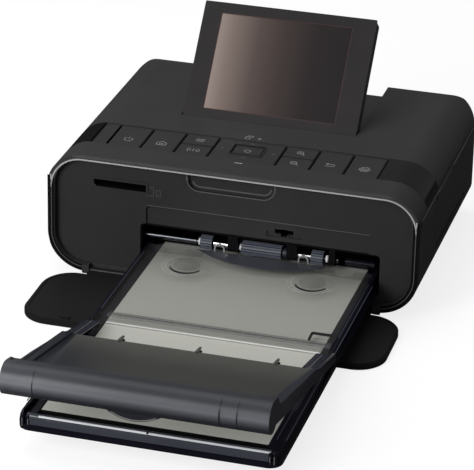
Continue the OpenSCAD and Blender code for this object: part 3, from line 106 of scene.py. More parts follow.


# Bodies that the dressing pieces go to, each with a slot name
ON_CASE = Carrier("body", "case")
ON_PANEL = Carrier("body", "panel")
ON_DUCT = Carrier("body", "black")
ON_TRIM = Carrier("body", "trim")
ON_DECK = Carrier("body", "gloss")
ON_DOOR = Carrier("front_door", "panel")
ON_BEZEL = Carrier("screen", "gloss")
ON_DISPLAY = Carrier("screen", "display")
ON_SHAFT = Carrier("feed", "shaft")
ON_TRAY = Carrier("cassette", "tray")
ON_LID = Carrier("cassette", "smoke")
ON_COVER = Carrier("outer_cover", "smoke")


def arc(middle: Point, radius: float, start: float, end: float, steps: int = 16) -> tuple[Point, ...]:
    """Gives points along an arc.

    Args:
        middle: Centre of the arc.
        radius: Its radius.
        start: First angle in degrees.
        end: Last angle in degrees.
        steps: Number of steps between them.

    Returns:
        The points, both ends included.
    """
    angles = [math.radians(start + (end - start) * i / steps) for i in range(steps + 1)]
    return tuple((middle[0] + radius * math.cos(a), middle[1] + radius * math.sin(a)) for a in angles)


@dataclass(frozen=True)
class Stroke:
    """One line of a printed mark.

    Args:
        points: The line's points in millimetres.
        width: Width of the line.
        closed: Whether its last point joins its first.
    """

    points: tuple[Point, ...]
    width: float
    closed: bool = False


class Shine(Enum):
    """How a finish's surface is made."""

    MOULDED = "moulded"
    METAL = "metal"
    PAPER = "paper"
    BOARD = "board"


@dataclass(frozen=True)
class Finish:
    """One finish of the printer, with the sizes of its texture in metres.

    Args:
        name: Name of the finish.
        colour: Linear base colour.
        shine: Kind of surface.
        roughness: Middle roughness.
        spread: How far the roughness wanders.
        grain: Size of the moulded or fibrous grain.
        relief: Height of that grain.
        mottle: Strength of the colour's slow change.
        alpha: Opacity of one wall.
        specular: Specular level.
        brushed: Axis scale of a brushed metal's lines.
    """

    name: str
    colour: Triple
    shine: Shine = Shine.MOULDED
    roughness: float = 0.45
    spread: float = 0.06
    grain: float = 0.0004
    relief: float = 0.00002
    mottle: float = 0.12
    alpha: float = 1.0
    specular: float = 0.5
    brushed: Triple = (1.0, 1.0, 1.0)


class Groups:
    """Shader node groups that several finishes share."""

    # Share of the cells in the grain's height
    CELL_SHARE = 0.6
    # Detail and roughness of the handling marks, and the middle of their mask
    MARK_DETAIL = 5.0
    MARK_ROUGHNESS = 0.62
    MASK_MIDDLE = 0.5

    def __init__(self) -> None:
        """Builds the groups once."""
        self.grain = self._grain()
        self.handling = self._handling()
        self.cloud = self._cloud()

    @staticmethod
    def _new(name: str, ins: dict[str, float], outs: dict[str, str]) -> bpy.types.NodeTree:
        """Makes an empty shader group.

        Args:
            name: Name of the group.
            ins: Float inputs and their defaults.
            outs: Outputs and their socket types.

        Returns:
            The group's node tree.
        """
        tree = bpy.data.node_groups.new(name, "ShaderNodeTree")
        for label, value in ins.items():
            socket = tree.interface.new_socket(label, in_out="INPUT", socket_type="NodeSocketFloat")
            socket.default_value = value
        for label, kind in outs.items():
            tree.interface.new_socket(label, in_out="OUTPUT", socket_type=kind)
        tree.nodes.new("NodeGroupInput").name = "in"
        tree.nodes.new("NodeGroupOutput").name = "out"
        return tree

    def _grain(self) -> bpy.types.NodeTree:
        """Fine moulded grain: a height and a pore mask that change over the surface.

        Returns:
            The group's node tree.
        """
        tree = self._new("moulded_grain", {"Scale": 2500.0, "Depth": 1.0},
                         {"Height": "NodeSocketFloat", "Pores": "NodeSocketFloat"})
        nodes, link = tree.nodes, tree.links.new
        place = nodes.new("ShaderNodeTexCoord")
        fine = nodes.new("ShaderNodeTexNoise")
        fine.inputs["Detail"].default_value = 3.0
        cells = nodes.new("ShaderNodeTexVoronoi")
        mix = nodes.new("ShaderNodeMath")
        mix.operation = "MULTIPLY_ADD"
        mix.inputs[1].default_value = self.CELL_SHARE
        deep = nodes.new("ShaderNodeMath")
        deep.operation = "MULTIPLY"
        for texture in (fine, cells):
            link(place.outputs["Object"], texture.inputs["Vector"])
            link(nodes["in"].outputs["Scale"], texture.inputs["Scale"])
        link(cells.outputs["Distance"], mix.inputs[0])
        link(fine.outputs["Fac"], mix.inputs[2])
        link(mix.outputs[0], deep.inputs[0])
        link(nodes["in"].outputs["Depth"], deep.inputs[1])
        link(deep.outputs[0], nodes["out"].inputs["Height"])
        link(fine.outputs["Fac"], nodes["out"].inputs["Pores"])
        return tree

    def _handling(self) -> bpy.types.NodeTree:
        """Slow uneven gloss, as hands and the mould leave it.

        Returns:
            The group's node tree.
        """
        tree = self._new("handling_marks", {"Scale": 22.0, "Middle": 0.5, "Spread": 0.1},
                         {"Roughness": "NodeSocketFloat", "Mask": "NodeSocketFloat"})
        nodes, link = tree.nodes, tree.links.new
        place = nodes.new("ShaderNodeTexCoord")
        slow = nodes.new("ShaderNodeTexNoise")
        slow.inputs["Detail"].default_value = self.MARK_DETAIL
        slow.inputs["Roughness"].default_value = self.MARK_ROUGHNESS
        centred = nodes.new("ShaderNodeMath")
        centred.operation = "SUBTRACT"
        centred.inputs[1].default_value = self.MASK_MIDDLE
        spread = nodes.new("ShaderNodeMath")
        spread.operation = "MULTIPLY_ADD"
        link(place.outputs["Object"], slow.inputs["Vector"])
        link(nodes["in"].outputs["Scale"], slow.inputs["Scale"])
        link(slow.outputs["Fac"], centred.inputs[0])
        link(centred.outputs[0], spread.inputs[0])
        link(nodes["in"].outputs["Spread"], spread.inputs[1])
        link(nodes["in"].outputs["Middle"], spread.inputs[2])
        link(spread.outputs[0], nodes["out"].inputs["Roughness"])
        link(slow.outputs["Fac"], nodes["out"].inputs["Mask"])
        return tree

    def _cloud(self) -> bpy.types.NodeTree:
        """Soft cloudy gloss of a clean clear surface.

        Returns:
            The group's node tree.
        """
        tree = self._new("cloudy_gloss", {"Scale": 30.0, "Low": 0.2, "High": 0.32},
                         {"Roughness": "NodeSocketFloat"})
        nodes, link = tree.nodes, tree.links.new
        place = nodes.new("ShaderNodeTexCoord")
        cloud = nodes.new("ShaderNodeTexNoise")
        rough = nodes.new("ShaderNodeMapRange")
        link(place.outputs["Object"], cloud.inputs["Vector"])
        link(nodes["in"].outputs["Scale"], cloud.inputs["Scale"])
        link(cloud.outputs["Fac"], rough.inputs["Value"])
        link(nodes["in"].outputs["Low"], rough.inputs["To Min"])
        link(nodes["in"].outputs["High"], rough.inputs["To Max"])
        link(rough.outputs["Result"], nodes["out"].inputs["Roughness"])
        return tree


def place_group(tree: bpy.types.NodeTree, group: bpy.types.NodeTree, **values: float) -> bpy.types.Node:
    """Places a shared group with its own values.

    Args:
        tree: The material's node tree.
        group: The group to place.
        values: Value of each named input.

    Returns:
        The group node.
    """
    node = tree.nodes.new("ShaderNodeGroup")
    node.node_tree = group
    for label, value in values.items():
        node.inputs[label].default_value = value
    return node


def cover_with(item: bpy.types.Object, material: bpy.types.Material) -> None:
    """Makes a material the only one of an object."""
    item.data.materials.clear()
    item.data.materials.append(material)


@dataclass
class Paintshop:
    """Makes each finish's material once and gives it to pieces.

    Args:
        groups: The shared node groups.
        relief_strength: Strength of the grain's relief.
        mottle_span: Part of the mask that the colour's slow change follows.
        made: The materials so far, by the names of their finishes.
    """

    groups: Groups
    relief_strength: float = 0.6
    mottle_span: Point = (0.3, 0.7)
    made: dict[str, bpy.types.Material] = field(default_factory=dict)

    def material(self, finish: Finish) -> bpy.types.Material:
        """Builds a finish's material.

        Args:
            finish: The finish to build.

        Returns:
            Its material.
        """
        if finish.name in self.made:
            return self.made[finish.name]
        material = bpy.data.materials.new(finish.name)
        material.use_nodes = True
        tree = material.node_tree
        nodes, link = tree.nodes, tree.links.new
        shader = nodes["Principled BSDF"]
        shader.inputs["Metallic"].default_value = 1.0 if finish.shine is Shine.METAL else 0.0
        shader.inputs["Specular IOR Level"].default_value = finish.specular
        shader.inputs["Alpha"].default_value = finish.alpha
        handling = place_group(tree, self.groups.handling, Middle=finish.roughness, Spread=finish.spread)
        grain = place_group(tree, self.groups.grain, Scale=1.0 / finish.grain)
        link(handling.outputs["Roughness"], shader.inputs["Roughness"])
        link(self._tint(tree, finish, handling, grain), shader.inputs["Base Color"])
        height = self._lines(tree, finish) if finish.shine is Shine.METAL else grain.outputs["Height"]
        bump = nodes.new("ShaderNodeBump")
        bump.inputs["Strength"].default_value = self.relief_strength
        bump.inputs["Distance"].default_value = finish.relief
        link(height, bump.inputs["Height"])
        link(bump.outputs["Normal"], shader.inputs["Normal"])
        self.made[finish.name] = material
        return material

    def _tint(self, tree: bpy.types.NodeTree, finish: Finish, handling: bpy.types.Node,
              grain: bpy.types.Node) -> bpy.types.NodeSocket:
        """Varies the base colour over the surface.

        Args:
            tree: The material's node tree.
            finish: The finish.
            handling: The handling marks.
            grain: The grain.

        Returns:
            The colour socket.
        """
        fibrous = finish.shine in (Shine.PAPER, Shine.BOARD)
        mask = grain.outputs["Pores"] if fibrous else handling.outputs["Mask"]
        ramp = tree.nodes.new("ShaderNodeValToRGB")
        low, high = ramp.color_ramp.elements
        low.position, high.position = self.mottle_span
        low.color = (*[c * (1.0 - finish.mottle) for c in finish.colour], 1.0)
        high.color = (*[min(c * (1.0 + finish.mottle), 1.0) for c in finish.colour], 1.0)
        tree.links.new(mask, ramp.inputs["Fac"])
        return ramp.outputs["Color"]

    @staticmethod
    def _lines(tree: bpy.types.NodeTree, finish: Finish) -> bpy.types.NodeSocket:
        """Fine drawn lines of a metal piece.

        Args:
            tree: The material's node tree.
            finish: The finish.

        Returns:
            The height socket.
        """
        nodes, link = tree.nodes, tree.links.new
        place = nodes.new("ShaderNodeTexCoord")
        stretch = nodes.new("ShaderNodeMapping")
        stretch.inputs["Scale"].default_value = finish.brushed
        lines = nodes.new("ShaderNodeTexNoise")
        lines.inputs["Scale"].default_value = 1.0 / finish.grain
        link(place.outputs["Object"], stretch.inputs["Vector"])
        link(stretch.outputs["Vector"], lines.inputs["Vector"])
        return lines.outputs["Fac"]

    def paint(self, piece: bpy.types.Object, finish: Finish) -> None:
        """Makes a finish the only one of a piece."""
        cover_with(piece, self.material(finish))


# Finishes of the printer, with linear colours
CASE = Finish("case_black", (0.034, 0.034, 0.0348), roughness=0.55, grain=0.00035, relief=0.00003,
              specular=0.35)
PANEL = Finish("panel_black", (0.0265, 0.0265, 0.0275), roughness=0.55, grain=0.00035, relief=0.00003,
               specular=0.3)
KEYCAP = Finish("key_black", (0.029, 0.029, 0.0297), roughness=0.5, grain=0.0003, relief=0.00002,
                specular=0.35)
GLOSS = Finish("gloss_black", (0.005, 0.005, 0.0055), roughness=0.14, spread=0.04, grain=0.004,
               relief=0.000002, specular=0.22)
BEZEL = Finish("bezel_black", (0.030, 0.0285, 0.0295), roughness=0.35, spread=0.04, grain=0.002,
               relief=0.000002, specular=0.35)
TRIM = Finish("satin_trim", (0.060, 0.060, 0.061), roughness=0.3, grain=0.0006, relief=0.000004, mottle=0.05)
# Painted highlight: a pale grey that stands in for light caught on the trim's front edge
TRIM_HIGHLIGHT = Finish("bright_edge", (0.50, 0.50, 0.50), roughness=0.25, grain=0.0006, relief=0.000002, mottle=0.05)
# Black of the mouth's duct and sockets, also used as painted shade in the card slot, round the OK key, in the
# bead's notch and before the paper
DUCT_AND_SHADE = Finish("duct_black", (0.005, 0.005, 0.006), roughness=0.6, specular=0.08)
DOOR = Finish("door_black", (0.013, 0.013, 0.0135), roughness=0.6, grain=0.00035, relief=0.00003,
              specular=0.16)
TRAY = Finish("tray_black", (0.007, 0.007, 0.013), roughness=0.2, spread=0.05, grain=0.003, relief=0.000003,
              specular=0.25)
LID = Finish("clear_lid", (0.13, 0.13, 0.125), roughness=0.16, spread=0.04, grain=0.004, relief=0.000003,
             alpha=0.11, specular=0.35)
GUIDE = Finish("print_guide", (0.075, 0.08, 0.095), roughness=0.3, spread=0.04, grain=0.004, relief=0.000003,
               alpha=0.85)
PAPER = Finish("print_paper", (0.60, 0.60, 0.55), shine=Shine.PAPER, roughness=0.42, grain=0.0009,
               relief=0.000004, mottle=0.03, specular=0.3)
STEEL = Finish("steel_sheet", (0.5, 0.51, 0.53), shine=Shine.METAL, roughness=0.35, grain=0.0006,
               relief=0.000004, mottle=0.06, brushed=(0.03, 1.0, 1.0))
CHROME = Finish("ground_shaft", (0.72, 0.72, 0.74), shine=Shine.METAL, roughness=0.14, spread=0.05,
                grain=0.0005, relief=0.000001, mottle=0.03, brushed=(1.0, 0.05, 0.05))
BRASS = Finish("turned_brass", (0.62, 0.44, 0.16), shine=Shine.METAL, roughness=0.3, grain=0.0005,
               relief=0.000002, mottle=0.06)
RUBBER = Finish("roller_rubber", (0.085, 0.095, 0.125), roughness=0.55, grain=0.0005, relief=0.00003)
FOOT = Finish("foot_rubber", (0.014, 0.014, 0.014), roughness=0.8, grain=0.0006, relief=0.00004)
GEAR = Finish("gear_nylon", (0.6, 0.58, 0.5), roughness=0.4)
BOARD = Finish("board_green", (0.01, 0.08, 0.035), shine=Shine.BOARD, roughness=0.3, grain=0.0012,
               relief=0.00002, mottle=0.35)
FACE = Finish("screen_face", (0.031, 0.0285, 0.0295), roughness=0.3, spread=0.03, grain=0.002,
              relief=0.000001, specular=0.3)
# Painted light: a paler copy of the tray's plastic for the front bead and face, where the front light falls
TRAY_FRONT_LIT = Finish("tray_beam", (0.052, 0.057, 0.072), roughness=0.22, spread=0.05, grain=0.003, relief=0.000003)
NAVY = Finish("hinge_navy", (0.030, 0.032, 0.050), roughness=0.25, spread=0.05, grain=0.003, relief=0.000003,
              alpha=0.85)
CERAMIC = Finish("head_ceramic", (0.66, 0.64, 0.58), roughness=0.25)
SINK = Finish("sink_aluminium", (0.6, 0.61, 0.63), shine=Shine.METAL, roughness=0.3, grain=0.0006,
              relief=0.000004, mottle=0.05, brushed=(0.03, 1.0, 1.0))
RIBBON = Finish("ink_film", (0.45, 0.3, 0.03), roughness=0.12, alpha=0.85)
SPOOL = Finish("wound_film", (0.3, 0.17, 0.03), roughness=0.25, grain=0.0008, relief=0.00001)
LAMP = Finish("lamp_lens", (0.5, 0.52, 0.5), roughness=0.25, mottle=0.03)
GLASS = Finish("screen_glass", (0.012, 0.012, 0.013), roughness=0.08, spread=0.02, grain=0.006,
               relief=0.0000005, alpha=0.1, specular=0.3)
PRINT = Finish("grey_print", (0.35, 0.35, 0.35), roughness=0.5, grain=0.0003, relief=0.000001, mottle=0.1,
               specular=0.3)
DIM_PRINT = Finish("dim_print", (0.075, 0.075, 0.075), roughness=0.5, grain=0.0003, relief=0.000001,
                   mottle=0.1, specular=0.3)
SHADE = Finish("dark_line", (0.006, 0.006, 0.007), roughness=0.4, grain=0.0006, relief=0.000002, mottle=0.1,
               specular=0.3)
# Painted shade: a soft dark line along the crease of the lid's fold
FOLD = Finish("fold_line", (0.10, 0.10, 0.098), roughness=0.4, grain=0.001, relief=0.000002, mottle=0.1,
              alpha=0.5)
# Painted highlight: a navy-grey line where light catches the tray's rails
RAIL_HIGHLIGHT = Finish("navy_line", (0.05, 0.055, 0.085), roughness=0.3, grain=0.001, relief=0.000002, mottle=0.3)
GLINT = Finish("clear_glint", (0.88, 0.88, 0.86), roughness=0.3, grain=0.001, relief=0.000002, mottle=0.1,
               alpha=0.9)
# Painted highlight: a pale skin along the tray's bead where light catches it
BEAD_HIGHLIGHT = Finish("bead_lustre", (0.64, 0.65, 0.68), roughness=0.25, grain=0.001, relief=0.000002, mottle=0.15)
# Painted shade: a soft dark band along the lid's fold and on its slope
LID_SHADE = Finish("lid_haze", (0.10, 0.105, 0.11), roughness=0.3, grain=0.001, relief=0.000002, mottle=0.1,
              alpha=0.3)
RING = Finish("lip_seam", (0.022, 0.025, 0.033), roughness=0.35, grain=0.002, relief=0.000002, alpha=0.75)
VEIL = Finish("lid_veil", (0.10, 0.105, 0.11), roughness=0.3, grain=0.001, relief=0.000002, mottle=0.1,
              alpha=0.15)
PALE = Finish("lid_ring", (0.62, 0.62, 0.58), roughness=0.3, grain=0.001, relief=0.000002, mottle=0.1,
              alpha=0.4)
SHAFT = Finish("dim_shaft", (0.085, 0.09, 0.1), shine=Shine.METAL, roughness=0.25, spread=0.05, grain=0.0005,
               relief=0.000001, mottle=0.03, brushed=(1.0, 0.05, 0.05))
# Painted highlight: pale lines where light catches the tray's posts, the hinge flaps and the finger tab's rim
CLEAR_HIGHLIGHT = Finish("clear_edge", (0.34, 0.34, 0.33), roughness=0.3, grain=0.001, relief=0.000002, mottle=0.1,
              alpha=0.55)
# Soft grey for printed arrows and fine lines, also used as painted highlights on the ledge, the finger recess
# and the door's hinge barrel
SOFT = Finish("soft_line", (0.11, 0.11, 0.112), roughness=0.4, grain=0.0006, relief=0.000002, mottle=0.08,
              specular=0.3)
BORDER = Finish("display_border", (0.075, 0.043, 0.040), roughness=0.3, mottle=0.05, specular=0.3)
BUSH = Finish("white_bush", (0.9, 0.9, 0.9), roughness=0.3, mottle=0.05)
HOOP = Finish("clear_hoop", (0.30, 0.31, 0.33), roughness=0.3, mottle=0.1)

NODE_FINISH: dict[str, Finish] = {
    "lower_case": CASE, "top_cover": CASE, "front_trim": TRIM, "front_panel": PANEL, "mouth_guide": DUCT_AND_SHADE,
    "front_door": DOOR, "door_pins": CHROME, "rubber_feet": FOOT, "case_screws": STEEL,
    "screen_frame": BEZEL, "screen_back": CASE, "screen_glass": GLASS, "screen_pins": CHROME,
    "key_deck": GLOSS, "switch_board": BOARD, "status_lamp": LAMP, "power_key": KEYCAP, "home_key": KEYCAP,
    "menu_key": KEYCAP, "wireless_key": KEYCAP, "arrow_key": KEYCAP, "ok_key": KEYCAP, "zoom_in_key": KEYCAP,
    "zoom_out_key": KEYCAP, "back_key": KEYCAP, "print_key": KEYCAP, "cassette_tray": TRAY,
    "paper_stack": PAPER, "pressure_plate": STEEL, "inner_lid": LID, "cover_pins": TRAY, "feed_shaft": SHAFT,
    "feed_gear": GEAR, "idler_gear_a": GEAR, "idler_gear_b": GEAR, "platen_roller": RUBBER,
    "platen_shaft": CHROME, "platen_gear": GEAR, "capstan_roller": CHROME, "pinch_roller": RUBBER,
    "drive_motor": STEEL, "motor_pinion": BRASS, "left_frame": STEEL, "right_frame": STEEL,
    "gear_plate": STEEL, "thermal_head": CERAMIC, "heat_sink": SINK, "ink_cartridge": TRAY,
    "supply_spool": SPOOL, "take_up_spool": SPOOL, "ink_ribbon": RIBBON, "ink_door": CASE,
    # card_socket is black as painted shade seen inside the card slot
    "ink_door_pin": CHROME, "main_board": BOARD, "card_socket": DUCT_AND_SHADE, "power_inlet": DUCT_AND_SHADE,
}


@dataclass
class Photograph:
    """The camera, the floor and the light.

    Args:
        shift_y: Distance from the body's front plane to the model's origin, in millimetres.
        spot: Measured place of the camera, in millimetres.
        right: Its direction to the right.
        up: Its upward direction.
        back: Direction from the printer to the camera.
        focal: Focal length in pixels.
        middle: Where the camera's axis meets the picture, in pixels.
        frame_size: Width and height of the picture in pixels.
        floor_reach: Half the floor's side, in metres.
        floor_tone: Colour of the floor in the light.
        floor_mirror: Colour of the floor in reflections.
        floor_glow: Strength of the floor's own light to the eye.
        surround: Strength of the surround's light on matt and in reflections.
        aim: Where the softboxes point, in metres.
        boxes: Name, place, side and power of each softbox.
    """

    shift_y: float
    spot: Triple = (320.117, -1150.493, 583.804)
    right: Triple = (0.96140997, 0.27440185, 0.01986176)
    up: Triple = (-0.13251971, 0.39861748, 0.9074925)
    back: Triple = (0.24110038, -0.87510441, 0.41959847)
    focal: float = 2799.87
    middle: Point = (236.52, 234.82)
    frame_size: Point = (474.0, 470.0)
    floor_reach: float = 6.0
    floor_tone: Triple = (0.3, 0.3, 0.3)
    floor_mirror: Triple = (0.085, 0.078, 0.074)
    floor_glow: float = 0.8
    surround: Point = (0.28, 0.2)
    aim: Triple = (0.0, 0.0, 0.03)
    boxes: tuple[tuple[str, Triple, float, float], ...] = (
        ("top_box", (-0.25, 0.25, 1.1), 0.8, 3.6), ("front_box", (-0.45, -0.75, 0.45), 0.5, 6.2))

    def camera(self) -> None:
        """Places the camera as it stood for the photograph."""
        data = bpy.data.cameras.new("camera")
        data.sensor_width = 36.0
        data.lens = self.focal / self.frame_size[0] * data.sensor_width
        data.shift_x = (self.frame_size[0] / 2 - self.middle[0]) / self.frame_size[0]
        data.shift_y = (self.middle[1] - self.frame_size[1] / 2) / self.frame_size[0]
        data.clip_start, data.clip_end = 0.05, 20.0
        camera = bpy.data.objects.new("camera", data)
        turn = Matrix((self.right, self.up, self.back)).transposed().to_4x4()
        x, y, z = self.spot
        camera.matrix_world = Matrix.Translation(Vector((x, y + self.shift_y, z)) * MM) @ turn
        bpy.context.scene.collection.objects.link(camera)
        bpy.context.scene.camera = camera

    def floor(self) -> None:
        """Lays a pale floor that keeps the printer's shadow."""
        mesh = bpy.data.meshes.new("floor")
        reach = self.floor_reach
        corners = [(x * reach, y * reach, 0) for x, y in ((-1, -1), (1, -1), (1, 1), (-1, 1))]
        mesh.from_pydata(corners, [], [(0, 1, 2, 3)])
        floor = bpy.data.objects.new("floor", mesh)
        bpy.context.scene.collection.objects.link(floor)
        material = bpy.data.materials.new("floor_white")
        material.use_nodes = True
        nodes, link = material.node_tree.nodes, material.node_tree.links.new
        nodes.clear()
        out = nodes.new("ShaderNodeOutputMaterial")
        matt = nodes.new("ShaderNodeBsdfDiffuse")
        tone = nodes.new("ShaderNodeMix")
        tone.data_type = "RGBA"
        tone.inputs["A"].default_value = (*self.floor_tone, 1)
        tone.inputs["B"].default_value = (*self.floor_mirror, 1)
        glow = nodes.new("ShaderNodeEmission")
        path = nodes.new("ShaderNodeLightPath")
        seen = nodes.new("ShaderNodeMath")
        seen.operation = "MAXIMUM"
        strength = nodes.new("ShaderNodeMath")
        strength.operation = "MULTIPLY"
        strength.inputs[1].default_value = self.floor_glow
        both = nodes.new("ShaderNodeAddShader")
        link(path.outputs["Is Glossy Ray"], tone.inputs["Factor"])
        link(tone.outputs["Result"], matt.inputs["Color"])
        link(path.outputs["Is Camera Ray"], seen.inputs[0])
        link(path.outputs["Is Transmission Ray"], seen.inputs[1])
        link(seen.outputs[0], strength.inputs[0])
        link(strength.outputs[0], glow.inputs["Strength"])
        link(matt.outputs[0], both.inputs[0])
        link(glow.outputs[0], both.inputs[1])
        link(both.outputs[0], out.inputs["Surface"])
        mesh.materials.append(material)

    def world(self) -> None:
        """Makes a plain white surround that lights the printer evenly."""
        world = bpy.data.worlds.new("studio")
        bpy.context.scene.world = world
        world.use_nodes = True
        nodes, link = world.node_tree.nodes, world.node_tree.links.new
        background = nodes["Background"]
        background.inputs["Color"].default_value = (1, 1, 1, 1)
        path = nodes.new("ShaderNodeLightPath")
        seen = nodes.new("ShaderNodeMath")
        seen.operation = "MAXIMUM"
        dim = nodes.new("ShaderNodeMapRange")
        dim.inputs["To Min"].default_value, dim.inputs["To Max"].default_value = self.surround
        strength = nodes.new("ShaderNodeMapRange")
        strength.inputs["To Max"].default_value = 1.0
        link(path.outputs["Is Glossy Ray"], dim.inputs["Value"])
        link(dim.outputs["Result"], strength.inputs["To Min"])
        link(path.outputs["Is Camera Ray"], seen.inputs[0])
        link(path.outputs["Is Transmission Ray"], seen.inputs[1])
        link(seen.outputs[0], strength.inputs["Value"])
        link(strength.outputs["Result"], background.inputs["Strength"])

    def lamp(self, name: str, spot: Triple, size: float, watts: float) -> None:
        """Hangs one square softbox.

        Args:
            name: Name of the lamp.
            spot: Where it hangs, in metres.
            size: Side of the softbox.
            watts: Its power.
        """
        data = bpy.data.lights.new(name, "AREA")
        data.size, data.energy = size, watts
        lamp = bpy.data.objects.new(name, data)
        direction = Vector(self.aim) - Vector(spot)
        lamp.matrix_world = Matrix.Translation(spot) @ direction.to_track_quat("-Z", "Y").to_matrix().to_4x4()
        bpy.context.scene.collection.objects.link(lamp)

    def build(self) -> None:
        """Sets up the whole studio."""
        self.camera()
        self.floor()
        self.world()
        for box in self.boxes:
            self.lamp(*box)
        bpy.context.scene.view_settings.view_transform = "Standard"


@dataclass
class Shell:
    """Dresses the nodes that come from the solids.

    Args:
        shop: Makes the finishes.
        layouts: Materials of the nodes whose colour follows places on them.
        soft_edge: Radius of the softened edges, in metres.
        soft_angle: Smallest angle of an edge that is softened, in degrees.
        plain: Nodes whose edges stay as they are.
    """

    shop: Paintshop
    layouts: dict[str, bpy.types.Material]
    soft_edge: float = 0.0002
    soft_angle: float = 50.0
    plain: tuple[str, ...] = ("feed_rollers", "screen_glass", "paper_stack", "status_lamp", "display_panel")

    def dress(self) -> None:
        """Gives each node its finish and softened edges."""
        finished = {name: self.shop.material(finish) for name, finish in NODE_FINISH.items()}
        for name, material in (finished | self.layouts).items():
            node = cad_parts[name]
            cover_with(node, material)
            if name not in self.plain:
                self.soften(node)
            LOG.info("%s wears %s", name, material.name)

    def soften(self, node: bpy.types.Object) -> None:
        """Rounds a node's sharp edges a little, so that they catch the light.

        Args:
            node: The node.
        """
        edge = node.modifiers.new("soft_edge", "BEVEL")
        edge.width = self.soft_edge
        edge.segments = 2
        edge.limit_method = "ANGLE"
        edge.angle_limit = math.radians(self.soft_angle)
        edge.harden_normals = False


@dataclass
class Bench:
    """Builds thin pieces and marks and hands each one to the body that carries it.

    Args:
        datum: The measured frame.
        shop: Makes the finishes.
        mitre: Smallest cosine that a line's corner is widened by.
        made: Names of the pieces so far.
    """

    datum: Datum
    shop: Paintshop
    mitre: float = 0.4
    made: list[str] = field(default_factory=list)

    def piece(self, name: str, points: list[Triple], faces: list[tuple[int, ...]], finish: Finish,
              carrier: Carrier) -> bpy.types.Object:
        """Makes one piece from measured points.

        Args:
            name: Name of the piece.
            points: Its points in millimetres.
            faces: Its faces as indices of the points.
            finish: Its finish.
            carrier: What it belongs to.

        Returns:
            The new object.
        """
        mesh = bpy.data.meshes.new(name)
        mesh.from_pydata([self.datum.at(*point) for point in points], [], faces)
        shape = bmesh.new()
        shape.from_mesh(mesh)
        bmesh.ops.recalc_face_normals(shape, faces=shape.faces)
        shape.to_mesh(mesh)
        shape.free()
        item = bpy.data.objects.new(name, mesh)
        bpy.context.scene.collection.objects.link(item)
        self.shop.paint(item, finish)
        body, slot = carrier.body, carrier.slot
        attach(item, body)
        self.made.append(name)
        LOG.info("piece %s rides on %s", name, body)
        return item

    @staticmethod
    def smooth(item: bpy.types.Object, angle: float = 40.0) -> bpy.types.Object:
        """Shades a piece smooth but keeps its sharp edges.

        Args:
            item: The piece.
            angle: Smallest angle of an edge that stays sharp, in degrees.

        Returns:
            The piece.
        """
        shape = bmesh.new()
        shape.from_mesh(item.data)
        for face in shape.faces:
            face.smooth = True
        for edge in shape.edges:
            edge.smooth = edge.calc_face_angle(0.0) < math.radians(angle)
        shape.to_mesh(item.data)
        shape.free()
        return item

    def mark(self, name: str, seat: Seat, strokes: tuple[Stroke, ...], finish: Finish, carrier: Carrier,
             height: float = 0.03, sink: float = 0.02) -> bpy.types.Object:
        """Makes a printed or engraved mark of thin raised lines.

        Args:
            name: Name of the mark.
            seat: What it lies on.
            strokes: Its lines.
            finish: Its finish.
            carrier: What it belongs to.
            height: How far it stands out.
            sink: How far it reaches in.

        Returns:
            The new object.
        """
        points: list[Triple] = []
        faces: list[tuple[int, ...]] = []
        for stroke in strokes:
            rails = self._rails(stroke)
            first = len(points)
            for left, right in rails:
                for (u, v), w in ((left, height), (right, height), (right, -sink), (left, -sink)):
                    points.append(seat.point(u, v, w))
            count = len(rails)
            for i in range(count if stroke.closed else count - 1):
                here, there = first + 4 * i, first + 4 * ((i + 1) % count)
                faces += [(here + k, here + (k + 1) % 4, there + (k + 1) % 4, there + k) for k in range(4)]
            if not stroke.closed:
                last = first + 4 * (count - 1)
                faces += [(first, first + 1, first + 2, first + 3), (last + 3, last + 2, last + 1, last)]
        return self.piece(name, points, faces, finish, carrier)

    def _rails(self, stroke: Stroke) -> list[tuple[Point, Point]]:
        """Gives the two sides of a stroke at each of its points, with mitred corners.

        Args:
            stroke: The stroke.

        Returns:
            Its left and right side at each point.
        """
        line = [Vector(point) for point in stroke.points]
        count = len(line)
        rails = []
        for i, here in enumerate(line):
            before = line[i - 1] if i or stroke.closed else None
            after = line[(i + 1) % count] if i < count - 1 or stroke.closed else None
            pairs = [(a, b) for a, b in ((before, here), (here, after)) if a is not None and b is not None]
            steps = [(b - a).normalized() for a, b in pairs]
            side = sum((Vector((-step.y, step.x)) for step in steps), Vector((0.0, 0.0))).normalized()
            reach = stroke.width / 2 / max(side.dot(Vector((-steps[0].y, steps[0].x))), self.mitre)
            rails.append((tuple(here + side * reach), tuple(here - side * reach)))
        return rails

    def turned(self, name: str, middle: Triple, profile: tuple[Point, ...], finish: Finish, carrier: Carrier,
               start: float = 0.0, sweep: float = 360.0, steps: int = 36) -> bpy.types.Object:
        """Makes a piece turned about a line along X.

        Args:
            name: Name of the piece.
            middle: Measured point on its axis.
            profile: Closed outline as (distance along X, radius).
            finish: Its finish.
            carrier: What it belongs to.
            start: Angle that it starts at, in degrees from +Y towards +Z.
            sweep: How far it goes round.
            steps: Steps of the sweep.

        Returns:
            The new object.
        """
        whole = sweep >= 360.0
        rings = steps if whole else steps + 1
        points = []
        for k in range(rings):
            turn = math.radians(start + sweep * k / steps)
            points += [(middle[0] + x, middle[1] + r * math.cos(turn), middle[2] + r * math.sin(turn))
                       for x, r in profile]
        n = len(profile)
        faces = [(k % rings * n + i, k % rings * n + (i + 1) % n, (k + 1) % rings * n + (i + 1) % n,
                  (k + 1) % rings * n + i) for k in range(rings if whole else rings - 1) for i in range(n)]
        if not whole:
            faces += [tuple(range(n)), tuple(range((rings - 1) * n, rings * n))[::-1]]
        return self.smooth(self.piece(name, points, faces, finish, carrier))

